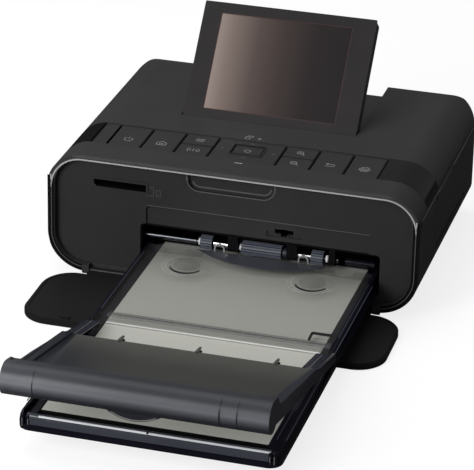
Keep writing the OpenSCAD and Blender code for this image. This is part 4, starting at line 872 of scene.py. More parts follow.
    def prism(self, name: str, first: list[Triple], second: list[Triple], finish: Finish,
              carrier: Carrier) -> bpy.types.Object:
        """Makes a smooth bar between two outlines that have as many points.

        Args:
            name: Name of the bar.
            first: Measured points of its first end.
            second: The same of its other end.
            finish: Its finish.
            carrier: What it belongs to.

        Returns:
            The new object.
        """
        n = len(first)
        faces = [tuple(range(n)), tuple(range(n, 2 * n))[::-1]] + self._wall(n)
        return self.smooth(self.piece(name, first + second, faces, finish, carrier))

    @staticmethod
    def _wall(n: int) -> list[tuple[int, ...]]:
        """Gives the faces between two outlines of n points."""
        return [(i, (i + 1) % n, n + (i + 1) % n, n + i) for i in range(n)]

    def frame(self, name: str, seat: Seat, outer: tuple[Point, ...], inner: tuple[Point, ...], low: float,
              high: float, finish: Finish, carrier: Carrier) -> bpy.types.Object:
        """Makes a flat frame between two outlines that have as many points.

        Args:
            name: Name of the piece.
            seat: What it lies on.
            outer: Its outer outline in millimetres.
            inner: Its inner outline.
            low: Its underside above the seat.
            high: Its top above the seat.
            finish: Its finish.
            carrier: What it belongs to.

        Returns:
            The new object.
        """
        n = len(outer)
        points = [seat.point(u, v, w) for w in (low, high) for line in (outer, inner) for u, v in line]
        faces = []
        for i in range(n):
            j = (i + 1) % n
            faces += [(i, j, n + j, n + i), (2 * n + i, 2 * n + j, 3 * n + j, 3 * n + i),
                      (i, j, 2 * n + j, 2 * n + i), (n + i, n + j, 3 * n + j, 3 * n + i)]
        return self.piece(name, points, faces, finish, carrier)

    def slab(self, name: str, seat: Seat, outline: tuple[Point, ...], low: float, high: float, finish: Finish,
             carrier: Carrier, round_edge: float = 0.0) -> bpy.types.Object:
        """Makes a flat piece of an outline.

        Args:
            name: Name of the piece.
            seat: What it lies on.
            outline: Its outline in millimetres.
            low: Its underside above the seat.
            high: Its top above the seat.
            finish: Its finish.
            carrier: What it belongs to.
            round_edge: Radius of its edges, in millimetres.

        Returns:
            The new object.
        """
        n = len(outline)
        points = [seat.point(u, v, w) for w in (low, high) for u, v in outline]
        faces = [tuple(range(n))[::-1], tuple(range(n, 2 * n))] + self._wall(n)
        item = self.piece(name, points, faces, finish, carrier)
        if round_edge:
            edge = item.modifiers.new("round_edge", "BEVEL")
            edge.width, edge.segments, edge.limit_method = round_edge * MM, 2, "ANGLE"
            edge.angle_limit = math.radians(40)
        return item


def rounded(low: Point, high: Point, radius: float) -> tuple[Point, ...]:
    """Gives the outline of a rectangle with round corners.

    Args:
        low: Its lower left corner.
        high: Its upper right corner.
        radius: Radius of its corners.

    Returns:
        The outline's points.
    """
    (x0, y0), (x1, y1) = low, high
    corners = ((x1 - radius, y0 + radius, -90), (x1 - radius, y1 - radius, 0), (x0 + radius, y1 - radius, 90),
               (x0 + radius, y0 + radius, 180))
    return tuple(point for x, y, turn in corners for point in arc((x, y), radius, turn, turn + 90, 5))


@dataclass
class KeyMarks:
    """Pictograms on the keys and the deck, and painted shade round the OK key.

    Args:
        bench: Builds the marks.
        line: Width of the marks' lines.
        full_share: Place of a mark on a key of full depth, as a share of that depth.
        arrow_reach: Distance from the OK key's middle to the side and the upright arrows.
        rim: Distance from the OK key's edge to the painted shade line of the gap round it, and the line's
            width.
    """

    bench: Bench
    line: float = 0.3
    full_share: float = 0.36
    arrow_reach: Point = (12.6, 8.6)
    rim: Point = (0.6, 0.6)

    def _on_key(self, node: str, strokes: tuple[Stroke, ...], share: float = 0.5) -> None:
        """Prints a mark on a key's top, in the middle of its width.

        Args:
            node: The key's CAD node.
            strokes: The mark's lines.
            share: Place of the mark as a share of the key's depth.
        """
        low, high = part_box(node)
        y = (low.y + (high.y - low.y) * share) / MM - self.bench.datum.shift
        seat = Seat(((low.x + high.x) / 2 / MM, y, high.z / MM))
        self.bench.mark(f"{node}_mark", seat, strokes, PRINT, Carrier(node, "key"))

    def _lens(self) -> tuple[Stroke, ...]:
        """Draws what both zoom marks share.

        Returns:
            The lens, its handle and the level dash.
        """
        ring = Stroke(arc((-0.4, 0.4), 1.5, 0, 345, 22), self.line, True)
        handle = Stroke(((0.7, -0.7), (2.1, -2.0)), 0.42)
        dash = Stroke(((-1.1, 0.4), (0.3, 0.4)), self.line)
        return ring, handle, dash

    def _left_keys(self) -> None:
        """Prints the marks of the keys to the left of the arrows."""
        w = self.line
        power = (Stroke(arc((0, 0), 2.0, 125, 415, 22), w), Stroke(((0, 0.4), (0, 2.7)), w))
        house = ((-2.3, -1.7), (-2.3, 0.9), (0, 2.5), (2.3, 0.9), (2.3, -1.7))
        door = ((-0.7, -1.6), (-0.7, 0.2), (0.7, 0.2), (0.7, -1.6))
        rows = tuple(Stroke(((-2.2, y), (2.2, y)), w) for y in (-1.3, 0.0, 1.3))
        waves = tuple(Stroke(arc((0, 0), r, a - 40, a + 40, 8), w) for r in (1.7, 2.9) for a in (0, 180))
        mast = (Stroke(((0, -1.4), (0, 0.6)), w), Stroke(arc((0, 1.1), 0.25, 0, 330, 8), w))
        self._on_key("power_key", power, self.full_share)
        self._on_key("home_key", (Stroke(house, w, True), Stroke(door, w)), self.full_share)
        self._on_key("menu_key", rows)
        self._on_key("wireless_key", waves + mast)

    def _right_keys(self) -> None:
        """Prints the marks of the OK key and of the keys to its right."""
        w = self.line
        bend = ((-1.9, 1.3),) + arc((1.0, 0.1), 1.2, 90, -90, 10) + ((-2.3, -1.1),)
        head = ((-1.0, 2.1), (-2.1, 1.3), (-1.0, 0.5))
        body = ((-2.4, -1.2), (-2.4, 0.7), (2.4, 0.7), (2.4, -1.2))
        sheet = ((-1.5, 0.7), (-1.5, 2.4), (1.5, 2.4), (1.5, 0.7))
        tray = ((-1.5, -0.4), (-1.5, -2.3), (1.5, -2.3), (1.5, -0.4))
        self._on_key("ok_key", (Stroke(arc((0, 0), 1.5, 0, 345, 24), w, True),))
        self._on_key("zoom_in_key", self._lens() + (Stroke(((-0.4, -0.3), (-0.4, 1.1)), w),))
        self._on_key("zoom_out_key", self._lens())
        self._on_key("back_key", (Stroke(bend, w), Stroke(head, w)), self.full_share)
        self._on_key("print_key", (Stroke(body, w, True), Stroke(sheet, w), Stroke(tray, w, True)),
                     self.full_share + 0.02)

    def _arrows(self) -> None:
        """Prints the four arrows, the painted shade of the gap round the OK key and the copies mark."""
        low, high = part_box("ok_key")
        x, y = (low.x + high.x) / 2 / MM, (low.y + high.y) / 2 / MM - self.bench.datum.shift
        half_x, half_y = (high.x - low.x) / 2 / MM + self.rim[0], (high.y - low.y) / 2 / MM + self.rim[0]
        _, arrow_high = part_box("arrow_key")
        frame_height = 0.35
        arrows = []
        for turn, reach in zip((0, 90, 180, 270), self.arrow_reach * 2):
            c, s = math.cos(math.radians(turn)), math.sin(math.radians(turn))
            corners = ((reach + 0.55, 0.0), (reach - 0.15, 0.75), (reach - 0.15, -0.75))
            arrows.append(Stroke(tuple((u * c - v * s, u * s + v * c) for u, v in corners), 0.34, True))
        carrier, top = Carrier("arrow_key", "key"), arrow_high.z / MM
        self.bench.mark("arrow_key_mark", Seat((x, y, top - frame_height)), tuple(arrows), SOFT, carrier)
        # Painted shade: a black line stands in for the shade in the gap round the raised OK key
        ring = Stroke(rounded((-half_x, -half_y), (half_x, half_y), 0.7), self.rim[1], True)
        self.bench.mark("ok_key_rim", Seat((x, y, top)), (ring,), DUCT_AND_SHADE, carrier, 0.02, 0.1)
        sheets = (Stroke(rounded((-4.6, -1.2), (-2.4, 1.6), 0.3), 0.28, True),
                  Stroke(((-1.9, 1.2), (-1.3, 1.2), (-1.3, 2.6), (-3.6, 2.6), (-3.6, 2.1)), 0.28),
                  Stroke(((1.2, 0.4), (3.4, 0.4)), 0.34), Stroke(((2.3, -0.7), (2.3, 1.5)), 0.34))
        behind = arrow_high.y / MM - self.bench.datum.shift + 3.4
        place = Seat((x - 0.5, behind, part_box("top_cover")[1].z / MM))
        self.bench.mark("copies_mark", place, sheets, PRINT, ON_CASE)

    def build(self) -> None:
        """Prints every key's mark."""
        self._left_keys()
        self._arrows()
        self._right_keys()


@dataclass
class Mouth:
    """Bushes, sleeves and hoops of the mouth, a painted highlight along the mouth's edge, and the card mark
    beside the card slot.

    Args:
        bench: Builds the pieces.
        shaft: Depth and height of the feed shaft's axis.
        bush_x: Left end of each white bush.
        sleeves: Left end, length and finish of each sleeve on the shaft.
        hoop_x: Middle of each paper hoop.
        hoop: Depth before the shaft, height and radius of a hoop's arch.
        card: Middle of the card mark.
    """

    bench: Bench
    shaft: Point = (10.0, 21.4)
    bush_x: tuple[float, ...] = (-17.9, 2.2, 23.9, 44.4)
    sleeves: tuple[tuple[float, float, Finish], ...] = (
        (-10.5, 7.0, CHROME), (30.8, 7.3, CHROME), (54.0, 14.0, TRAY))
    hoop_x: tuple[float, ...] = (-7.2, 33.9)
    hoop: Triple = (2.2, 19.9, 2.3)
    card: Triple = (-39.6, 2.99, 47.0)

    def build(self) -> None:
        """Makes the small pieces on and under the feed shaft."""
        y, z = self.shaft
        bush = ((0.0, 1.49), (0.0, 1.6), (0.2, 1.8), (1.0, 1.8), (1.2, 1.6), (1.2, 1.49))
        for index, x in enumerate(self.bush_x):
            self.bench.turned(f"shaft_bush_{index}", (x, y, z), bush, BUSH, ON_SHAFT)
        for index, (x, long, finish) in enumerate(self.sleeves):
            sleeve = ((0.0, 1.45), (0.0, 1.56), (long, 1.56), (long, 1.45))
            self.bench.turned(f"shaft_sleeve_{index}", (x, y, z), sleeve, finish, ON_SHAFT)
        # Painted highlight: a pale line where light catches the edge at the mouth
        edge = Stroke(((-6.0, 6.7), (33.0, 6.7)), 0.3)
        self.bench.mark("mouth_edge_line", Seat((0.0, 0.0, LID_TOP)), (edge,), GLINT, ON_LID, 0.02, 0.1)
        before, height, radius = self.hoop
        arch = ((-radius, -2.2),) + arc((0, 0), radius, 180, 0, 18) + ((radius, -2.2),)
        for index, x in enumerate(self.hoop_x):
            seat = Seat((x, y - before, height), *UPRIGHT)
            self.bench.mark(f"paper_hoop_{index}", seat, (Stroke(arch, 0.6),), HOOP, ON_DUCT, 0.4, 0.4)
        self._card_mark()

    def _card_mark(self) -> None:
        """Prints the generic memory card mark beside the card slot."""
        large = ((-2.6, -2.2), (-2.6, 1.6), (-1.9, 2.4), (0.8, 2.4), (0.8, -2.2))
        small = ((2.2, -2.2), (2.2, 1.0), (4.0, 1.0), (4.4, 0.4), (4.4, -2.2))
        contacts = tuple(Stroke(((-2.0 + 0.8 * i, 1.1), (-2.0 + 0.8 * i, 1.9)), 0.26) for i in range(3))
        strokes = (Stroke(large, 0.3, True), *contacts, Stroke(small, 0.3, True),
                   Stroke(((2.8, -1.2), (3.8, -1.2)), 0.26))
        self.bench.mark("card_mark", Seat(self.card, *UPRIGHT), strokes, DIM_PRINT, ON_PANEL)


@dataclass
class Cassette:
    """Painted shade and highlight lines, discs and the guide plate on the cassette's inner lid.

    Args:
        bench: Builds the pieces.
        ends: Left and right end of the lid's cross lines.
        fold: Depth of the painted shade band along the fold and of its darker line.
        slope: Where the sloping part starts, its fall and its length in depth.
        step: Depth and height of the painted highlight on the lid's front edge.
        disc: Distance of a disc's middle from the lid's, and its depth.
        disc_rings: Radius and width of the pale rings round a disc.
        corner_haze: Left and right end of each hazy rear corner.
    """

    bench: Bench
    ends: Point = (-37.0, 67.0)
    fold: Point = (-69.9, -70.9)
    slope: Triple = (-71.4, 2.35, 3.6)
    step: Point = (-75.2, 15.95)
    disc: Point = (30.4, -13.3)
    disc_rings: tuple[Point, ...] = ((9.2, 0.5), (11.0, 0.4))
    corner_haze: tuple[Point, ...] = ((-37.0, -13.0), (42.0, 66.0))

    def _lines(self) -> None:
        """Lays painted shade along the lid's fold and slope, a painted highlight on its front edge and the
        slit's outline.
        """
        left, right = self.ends
        flat = Seat((0.0, 0.0, LID_TOP))
        start, fall, run = self.slope
        long = math.hypot(run, fall)
        ramp = Seat((0.0, start, LID_TOP), (-1.0, 0.0, 0.0), (0.0, -run / long, -fall / long))
        slit = ((56.2, -67.3),) + arc((57.0, -61.2), 1.0, 180, 90, 5) + ((65.4, -60.2),)
        band, line = self.fold
        for name, seat, points, width, finish, height, sink in (
                # Painted shade along the fold and on the slope
                ("lid_fold_haze", flat, ((left, band), (right, band)), 2.8, LID_SHADE, 0.02, 0.02),
                ("lid_fold_line", flat, ((left, line), (right, line)), 0.9, FOLD, 0.04, 0.02),
                ("lid_slope_line", ramp, ((-left, 0.7), (-right, 0.7)), 1.3, LID_SHADE, 0.04, 0.02),
                # Painted highlight: a pale line where light catches the lid's front step
                ("lid_front_line", Seat((0.0, 0.0, self.step[1])),
                 ((left + 0.6, self.step[0]), (right - 3.6, self.step[0])), 1.0, GLINT, 0.22, 0.0),
                ("lid_slit_line", flat, slit, 0.95, SHADE, 0.03, 0.9)):
            self.bench.mark(name, seat, (Stroke(points, width),), finish, ON_LID, height, sink)

    def _disc(self, index: int, seat: Seat) -> None:
        """Lays one disc's painted shade crescent, pale rings and pad.

        Args:
            index: Number of the disc.
            seat: Its middle on the lid's top.
        """
        # Painted shade: a dark crescent on the front side of the raised disc
        edge = Stroke(arc((0, 0), 7.95, 205, 335, 24), 0.5)
        self.bench.mark(f"lid_disc_line_{index}", seat, (edge,), SHADE, ON_LID, 0.02, 0.6)
        for ring, (radius, wide) in enumerate(self.disc_rings):
            pale = Stroke(arc((-0.6, -0.6), radius, 150, 345, 28), wide)
            self.bench.mark(f"lid_disc_edge_{index}_{ring}", seat, (pale,), PALE, ON_LID, 0.02, 0.05)
        pad = arc((0, 0.6), 6.4, 0, 342, 38)
        self.bench.slab(f"lid_disc_pad_{index}", seat, pad, -0.03, 0.03, VEIL, ON_LID)

    def build(self) -> None:
        """Makes the lid's pieces."""
        self._lines()
        low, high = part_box("inner_lid")
        top, middle = high.z / MM, (low.x + high.x) / 2 / MM
        rear = high.y / MM - self.bench.datum.shift
        bow = arc((1.7, 37.0), 49.6, 270 - 44, 270 + 44, 56)
        plate = tuple(point for point in bow if point[1] < -0.3)
        seat = Seat((middle, rear, top - 1.0))
        self.bench.slab("print_guide_plate", seat, plate, 0.72, 0.96, GUIDE, ON_LID, 0.05)
        for index, side in enumerate((-1.0, 1.0)):
            self._disc(index, Seat((middle + side * self.disc[0], self.disc[1], top)))
        flat = Seat((0.0, 0.0, top))
        for index, (x0, x1) in enumerate(self.corner_haze):
            corner = rounded((x0, -3.4), (x1, 6.2), 2.0)
            self.bench.slab(f"lid_rear_haze_{index}", flat, corner, -0.03, 0.02, VEIL, ON_LID)


@dataclass
class TrayFront:
    """Bead and face in painted light, the bead's painted highlight and notch shade, corner posts, painted
    shade before the paper and painted highlights along the rails of the cassette's front.

    Args:
        bench: Builds the pieces.
        left: Left end of the front wall.
        right: Its right end.
        bead: Middle of the bead's section, as distance to the front and height.
        bead_radius: Radius of the bead.
        notch: Left and right end of the painted shade of the notch in the bead.
        posts: Place, depth, radius and height of each corner post.
        rails: Place, height, front and rear end of each painted highlight along the rails.
    """

    bench: Bench
    left: float = -43.0
    right: float = 69.6
    bead: Point = (169.9, 16.4)
    bead_radius: float = 1.5
    notch: Point = (13.1, 14.0)
    posts: tuple[tuple[float, float, float, float], ...] = (
        (-41.9, -170.3, 1.1, 7.2), (-39.2, -171.0, 0.7, 6.8),
        (68.6, -170.3, 1.05, 7.2), (66.8, -171.0, 0.7, 6.8))
    rails: tuple[tuple[float, float, float, float], ...] = (
        (-41.6, 18.0, -66.0, -2.0), (-43.6, 18.0, -160.0, -98.0), (68.4, 18.0, -62.0, -4.0),
        (70.6, 18.0, -160.0, -6.0), (66.6, 17.9, -160.0, -96.0))

    def build(self) -> None:
        """Makes the pieces of the cassette's front."""
        bead = arc(self.bead, self.bead_radius, -10, 190, 14)
        face = rounded((171.42, 13.2), (171.62, 16.5), 0.08)
        paper_shade_outline = rounded((161.5, 12.2), (162.1, 15.55), 0.1)
        flank = ((150.0, 10.8), (168.6, 10.8)) + arc((167.6, 14.2), 3.6, -60, 90, 10) + ((150.0, 17.6),)
        for name, outline, x0, x1, finish in (
                # Painted light: the bead wears the paler, lit copy of the tray's plastic
                ("tray_front_bead", bead, self.left + 3.2, self.right - 2.4, TRAY_FRONT_LIT),
                # Painted highlight: a pale skin along the bead
                ("tray_bead_lustre", self._skin(0.06, 24, 58), self.left + 8.4, self.right - 2.6, BEAD_HIGHLIGHT),
                # Painted shade: a black skin across the bead stands in for the shade in its notch
                ("tray_bead_notch", self._skin(0.12, 30, 80), *self.notch, DUCT_AND_SHADE),
                # Painted light: the face wears the paler, lit copy of the tray's plastic
                ("tray_front_face", face, self.left + 4.6, self.right - 3.4, TRAY_FRONT_LIT),
                # Painted shade: a black strip over the paper's front edge stands in for the dark gap before
                # the front wall
                ("paper_stop", paper_shade_outline, -36.8, 63.4, DUCT_AND_SHADE)):
            self._bar(name, outline, x0, x1, finish)
        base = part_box("cassette_tray")[0].z / MM
        for index, (x, y, radius, height) in enumerate(self.posts):
            self._post(f"tray_post_{index}", (x, y, base + 0.3), radius, height)
            # Painted highlight: a pale line down each post where light catches it
            shine = Seat((x, y - radius, base), *UPRIGHT)
            line = Stroke(((0.0, 1.6), (0.0, 5.4)), 0.3)
            self.bench.mark(f"tray_post_line_{index}", shine, (line,), CLEAR_HIGHLIGHT, ON_TRAY, 0.05, 0.1)
        self._bar("tray_rail_end", flank, -43.1, -42.2, TRAY)
        # Painted highlights along the tray's rails
        for index, (x, z, y0, y1) in enumerate(self.rails):
            line = Stroke(((0.0, y0), (0.0, y1)), 0.35)
            self.bench.mark(f"tray_rail_line_{index}", Seat((x, 0.0, z)), (line,), RAIL_HIGHLIGHT, ON_TRAY, 0.12, 0.25)

    def _bar(self, name: str, outline: tuple[Point, ...], x0: float, x1: float, finish: Finish) -> None:
        """Lays one straight bar across the tray.

        Args:
            name: Name of the bar.
            outline: Its section, as distance to the front and height.
            x0: Its left end.
            x1: Its right end.
            finish: Its finish.
        """
        ends = [[(x, -u, v) for u, v in outline] for x in (x0, x1)]
        self.bench.prism(name, *ends, finish, ON_TRAY)

    def _skin(self, proud: float, start: float, end: float) -> tuple[Point, ...]:
        """Gives the section of a thin skin on the bead.

        Args:
            proud: Height of the skin over the bead.
            start: First angle in degrees.
            end: Last angle in degrees.

        Returns:
            The section's points.
        """
        outer, inner = self.bead_radius + proud, self.bead_radius - 0.08
        return arc(self.bead, outer, start, end, 8) + arc(self.bead, inner, end, start, 8)

    def _post(self, name: str, foot: Triple, radius: float, height: float) -> None:
        """Stands one round post with a domed top.

        Args:
            name: Name of the post.
            foot: Middle of its lower end.
            radius: Its radius.
            height: Its height.
        """
        rings = ((0.0, radius), (height - radius * 0.6, radius), (height - radius * 0.25, radius * 0.85),
                 (height, radius * 0.4))
        steps = 20
        turns = [2 * math.pi * k / steps for k in range(steps)]
        points = [(foot[0] + r * math.cos(turn), foot[1] + r * math.sin(turn), foot[2] + z)
                  for z, r in rings for turn in turns]
        faces = [tuple(range(steps))[::-1], tuple(range(3 * steps, 4 * steps))]
        faces += [(j * steps + k, j * steps + (k + 1) % steps, (j + 1) * steps + (k + 1) % steps,
                   (j + 1) * steps + k) for j in range(3) for k in range(steps)]
        self.bench.smooth(self.bench.piece(name, points, faces, TRAY, ON_TRAY), 60.0)


@dataclass
class Cover:
    """Rings, fin caps, hinge flaps with painted glints and the painted highlight on the finger tab's rim of
    the outer cover.

    Args:
        bench: Builds the pieces.
        hinge: Depth and height of the cover's hinge.
        tilt: Tilt of the cover in degrees.
        reach: Distance from the hinge to the middle of the curled lip.
        rise: Height of the lip's middle above the plate's seat.
        radius: Outer radius of the lip.
        rings: Left end and width of each seam round the lip.
        fins: Place of the middle fin and the distance to its neighbours.
        fin_height: Height of the fins' caps above the plate's seat.
        tab: Middle of the finger tab, the bend of its rim and half the bend's sweep in degrees.
        flaps: Left and right end of each hinge flap.
        plate: Height of the plate's top above its seat and of the flaps' top.
    """

    bench: Bench
    hinge: Point = (-79.0, 16.5)
    tilt: float = 12.5
    reach: float = 107.9
    rise: float = 1.6
    radius: float = 7.2
    rings: tuple[Point, ...] = ((-30.4, 0.5), (49.7, 0.8), (57.2, 0.6))
    fins: Point = (-17.1, 35.3)
    # tab: Middle of the finger tab, the bend of the painted highlight along its rim and half the bend's sweep
    # in degrees.
    fin_height: float = 2.45
    tab: Triple = (12.3, 22.4, 26.0)
    flaps: tuple[Point, ...] = ((-43.0, -37.0), (63.6, 69.6))
    plate: Point = (1.86, 2.5)

    def build(self) -> None:
        """Makes the cover's pieces."""
        c, s = math.cos(math.radians(self.tilt)), math.sin(math.radians(self.tilt))
        seat = Seat((0.0, *self.hinge), (-1.0, 0.0, 0.0), (0.0, -c, s))
        _, y, z = seat.point(0.0, self.reach, self.rise)
        inside, outside = self.radius - 0.3, self.radius + 0.05
        for index, (x, wide) in enumerate(self.rings):
            ring = ((0.0, inside), (0.0, outside), (wide, outside), (wide, inside))
            self.bench.turned(f"lip_ring_{index}", (x, y, z), ring, RING, ON_COVER, 112.0, 190.0, 40)
        for index in range(3):
            x = self.fins[0] - self.fins[1] * (index - 1)
            fin = Stroke(((x, 34.6), (x - 0.1, 31.6), (x - 0.5, 28.4)), 0.95)
            cap = seat.raised(self.fin_height)
            self.bench.mark(f"fin_line_{index}", cap, (fin,), DUCT_AND_SHADE, ON_COVER, 0.25, 0.5)
        for index, (x0, x1) in enumerate(self.flaps):
            flap = rounded((-x1, 4.2), (-x0, 34.4), 0.8)
            self.bench.slab(f"hinge_flap_{index}", seat, flap, *self.plate, NAVY, ON_COVER)
            middle = -(x0 + x1) / 2
            line = Stroke(((middle, 6.0), (middle, 30.0)), 0.35)
            self.bench.mark(f"hinge_glint_{index}", seat.raised(self.plate[1]), (line,), CLEAR_HIGHLIGHT, ON_COVER, 0.12)
        face = Seat(seat.point(0, self.reach + 0.7, 0), (1.0, 0.0, 0.0), (0.0, s, c))
        across, bend, half = self.tab
        lowest = self.rise - self.radius - 2.9
        # Painted highlight: a pale line where light catches the finger tab's rim
        tab = Stroke(arc((across, lowest + bend), bend, 270 - half, 270 + half, 24), 0.45)
        self.bench.mark("finger_tab_rim", face, (tab,), CLEAR_HIGHLIGHT, ON_COVER, 0.1)


@dataclass
class Screen:
    """The flat black face round the display.

    Args:
        bench: Builds the pieces.
        picture: The display's material.
        hinge: Measured point that the screen's seat starts from.
        tilt: Tilt of the screen in degrees.
        face: Lower left and upper right corner of the face.
        opening: The same of its opening.
        core: The same of the picture inside the border.
    """

    bench: Bench
    picture: bpy.types.Material
    hinge: Triple = (0.0, 67.9, 58.7)
    tilt: float = 50.9
    face: tuple[Point, Point] = ((-43.55, 0.35), (43.55, 60.55))
    opening: tuple[Point, Point] = ((-34.4, 5.3), (32.3, 55.3))
    core: tuple[Point, Point] = ((-34.0, 5.7), (31.9, 54.9))

    def build(self) -> None:
        """Lays the face, the display's sheet and its thin border."""
        c, s = math.cos(math.radians(self.tilt)), math.sin(math.radians(self.tilt))
        seat = Seat(self.hinge, (1.0, 0.0, 0.0), (0.0, c, s))
        inner, core = rounded(*self.opening, 0.3), rounded(*self.core, 0.3)
        self.bench.frame("screen_face", seat, rounded(*self.face, 0.5), inner, 2.9, 3.24, FACE, ON_BEZEL)
        self.bench.frame("display_border", seat, inner, core, 2.9, 3.16, BORDER, ON_DISPLAY)
        sheet = self.bench.slab("display_sheet", seat, inner, 2.88, 3.02, FACE, ON_DISPLAY)
        cover_with(sheet, self.picture)


@dataclass
class Front:
    """Painted highlights, painted shade, fine lines and liners of the body, its key band and its door.

    Args:
        bench: Builds the pieces.
        half: Half the body's width.
        top: Height of its top.
        seam: Height of the seam between the body's halves.
        top_bend: Radius of its upper edges.
        low_bend: Radius of its lower edges.
        panel: Depth of the set-back front panel.
        grip: Left, right and lower end of the finger recess, and its corner radius.
        grip_top: Upper end of the painted highlight round the recess.
        grip_floor: Depth of the recess's floor.
        deck: Depth of the key band's front and rear edge.
        door_lean: Slope of the lying door in degrees.
    """

    bench: Bench
    half: float = 90.9
    top: float = 62.0
    seam: float = 50.35
    top_bend: float = 17.5
    low_bend: float = 19.5
    panel: float = 3.0
    grip: tuple[float, float, float, float] = (-22.4, 20.4, 50.3, 6.0)
    grip_top: float = 59.4
    grip_floor: float = 4.8
    deck: Point = (18.4, 43.0)
    door_lean: float = 1.2

    def build(self) -> None:
        """Makes the front's pieces."""
        self._edges()
        self._panel()
        self._deck_end()
        self._barrel()
        self._side()
        self._door()

    def _edges(self) -> None:
        """Lays a painted highlight along the front's upper edge, and painted shade with a lighter line round
        its lower rim.
        """
        wall = Seat((0.0, 0.0, 0.0), *UPRIGHT)
        drop = 2.0
        x, z, r = self.half - drop, self.top - drop, self.top_bend - drop
        bow = (((-x, 50.6),) + arc((-x + r, z - r), r, 180, 90, 20)
               + arc((x - r, z - r), r, 90, 0, 20) + ((x, 50.6),))
        # Painted highlight along the trim's upper front edge
        self.bench.mark("trim_edge", wall, (Stroke(bow, 0.7),), TRIM_HIGHLIGHT, ON_TRIM, 0.06, 0.3)
        middle = (self.half - self.low_bend, 2.0 + self.low_bend)
        # Painted shade: black strips darken the lower rim's front where light falls on it, with a lighter
        # line between them
        for name, inset, wide, finish in (("rim_shade_outer", 1.05, 1.6, DUCT_AND_SHADE), ("rim_line", 2.1, 0.3, SOFT),
                                          ("rim_shade_inner", 2.95, 1.1, DUCT_AND_SHADE)):
            for index, side in enumerate((-1.0, 1.0)):
                turn = arc((side * middle[0], middle[1]), self.low_bend - inset, 270 + side * 90, 270, 20)
                rim = Stroke(((side * (self.half - inset), 50.1),) + turn, wide)
                self.bench.mark(f"{name}_{index}", wall, (rim,), finish, ON_CASE, 0.04, 0.2)

    def _panel(self) -> None:
        """Lays painted highlights along the ledge and round the finger recess, and painted shade lining the
        card slot.
        """
        panel, floor = Seat((0.0, self.panel, 0.0), *UPRIGHT), Seat((0.0, self.grip_floor, 0.0), *UPRIGHT)
        left, right, low, bend = self.grip
        z = low + bend
        rim = (((left, self.grip_top), (left, z)) + arc((left + bend, z), bend, 180, 270, 8)
               + arc((right - bend, z), bend, 270, 360, 8) + ((right, self.grip_top),))
        lower = (((-19.6, 54.2),) + arc((left + bend, z - 0.4), 3.9, 208, 270, 6)
                 + arc((right - bend, z - 0.4), 3.9, 270, 350, 8))
        # Painted highlights: pale lines where light catches the ledge's edge and the finger recess's rims
        for name, seat, line, wide, height in (
                ("ledge_line", panel, ((-42.2, 39.75), (66.4, 39.75)), 0.32, 0.05),
                ("grip_line", panel, rim, 0.5, 0.05),
                ("grip_floor_line", floor, lower, 0.7, 0.1)):
            self.bench.mark(name, seat, (Stroke(line, wide),), SOFT, ON_PANEL, height, 0.2)
        # Painted shade: a black frame lines the card slot's inside
        outer = ((-66.88, 46.37), (-42.42, 46.37), (-42.42, 50.03), (-68.28, 50.03), (-68.28, 47.77))
        inner = ((-66.80, 46.57), (-42.62, 46.57), (-42.62, 49.83), (-68.08, 49.83), (-68.08, 47.85))
        self.bench.frame("card_slot_liner", panel, outer, inner, -2.9, 0.42, DUCT_AND_SHADE, ON_DUCT)

    def _deck_end(self) -> None:
        """Makes the key band's dark left shoulder and the blank cap beside it."""
        middle = (-self.half + self.top_bend, self.top - self.top_bend)
        outer = arc(middle, self.top_bend + 0.03, 97, 171, 24)
        inner = arc(middle, self.top_bend - 0.1, 171, 97, 24)
        ends = [[(u, y, w) for u, w in outer + inner] for y in self.deck]
        self.bench.prism("deck_shoulder", *ends, DUCT_AND_SHADE, ON_DECK)
        cap = rounded((-74.4, self.deck[0] + 0.2), (-67.95, self.deck[1] - 0.1), 0.4)
        seat = Seat((0.0, 0.0, self.top - 0.7))
        self.bench.slab("deck_blank_cap", seat, cap, 0.0, 0.3, KEYCAP, ON_DECK, 0.1)

    def _barrel(self) -> None:
        """Lays a painted highlight along the top of the door hinge's barrel."""
        # Painted highlight: a pale strip where light catches the barrel's top
        barrel = Stroke(((-69.2, 0.0), (-47.0, 0.0)), 0.7)
        self.bench.mark("door_bevel_0", Seat((0.0, -0.35, 3.55)), (barrel,), SOFT, ON_DOOR, 0.12, 0.3)

    def _door(self) -> None:
        """Lays the door's liner and its mould mark."""
        lean = math.radians(self.door_lean)
        door = Seat((0.0, 0.9, 2.35), (1.0, 0.0, 0.0), (0.0, math.cos(lean), math.sin(lean)))
        liner = rounded((-60.2, -49.3), (60.2, -14.0), 0.4)
        self.bench.slab("door_liner", door, liner, 1.0, 1.56, DOOR, ON_DOOR)
        mark = Stroke(((-66.6, -52.4), (-63.6, -52.4)), 0.5)
        self.bench.mark("door_mark", door.raised(1.55), (mark,), SOFT, ON_DOOR, 0.03, 0.1)

    def _side(self) -> None:
        """Lays the seam line of the right side and the corner's groove."""
        side = Seat((self.half, 0.0, 0.0), (0.0, 1.0, 0.0), (0.0, 0.0, 1.0))
        for name, line, wide, finish, height in (
                ("side_seam_line", ((3.0, self.seam), (126.0, self.seam)), 0.3, SOFT, 0.04),
                ("corner_groove", ((3.4, 22.0), (3.4, 50.0)), 0.8, SHADE, 0.03),
                ("corner_line", ((4.4, 22.0), (4.4, 50.0)), 0.35, SOFT, 0.04)):
            self.bench.mark(name, side, (Stroke(line, wide),), finish, ON_CASE, height, 0.1)


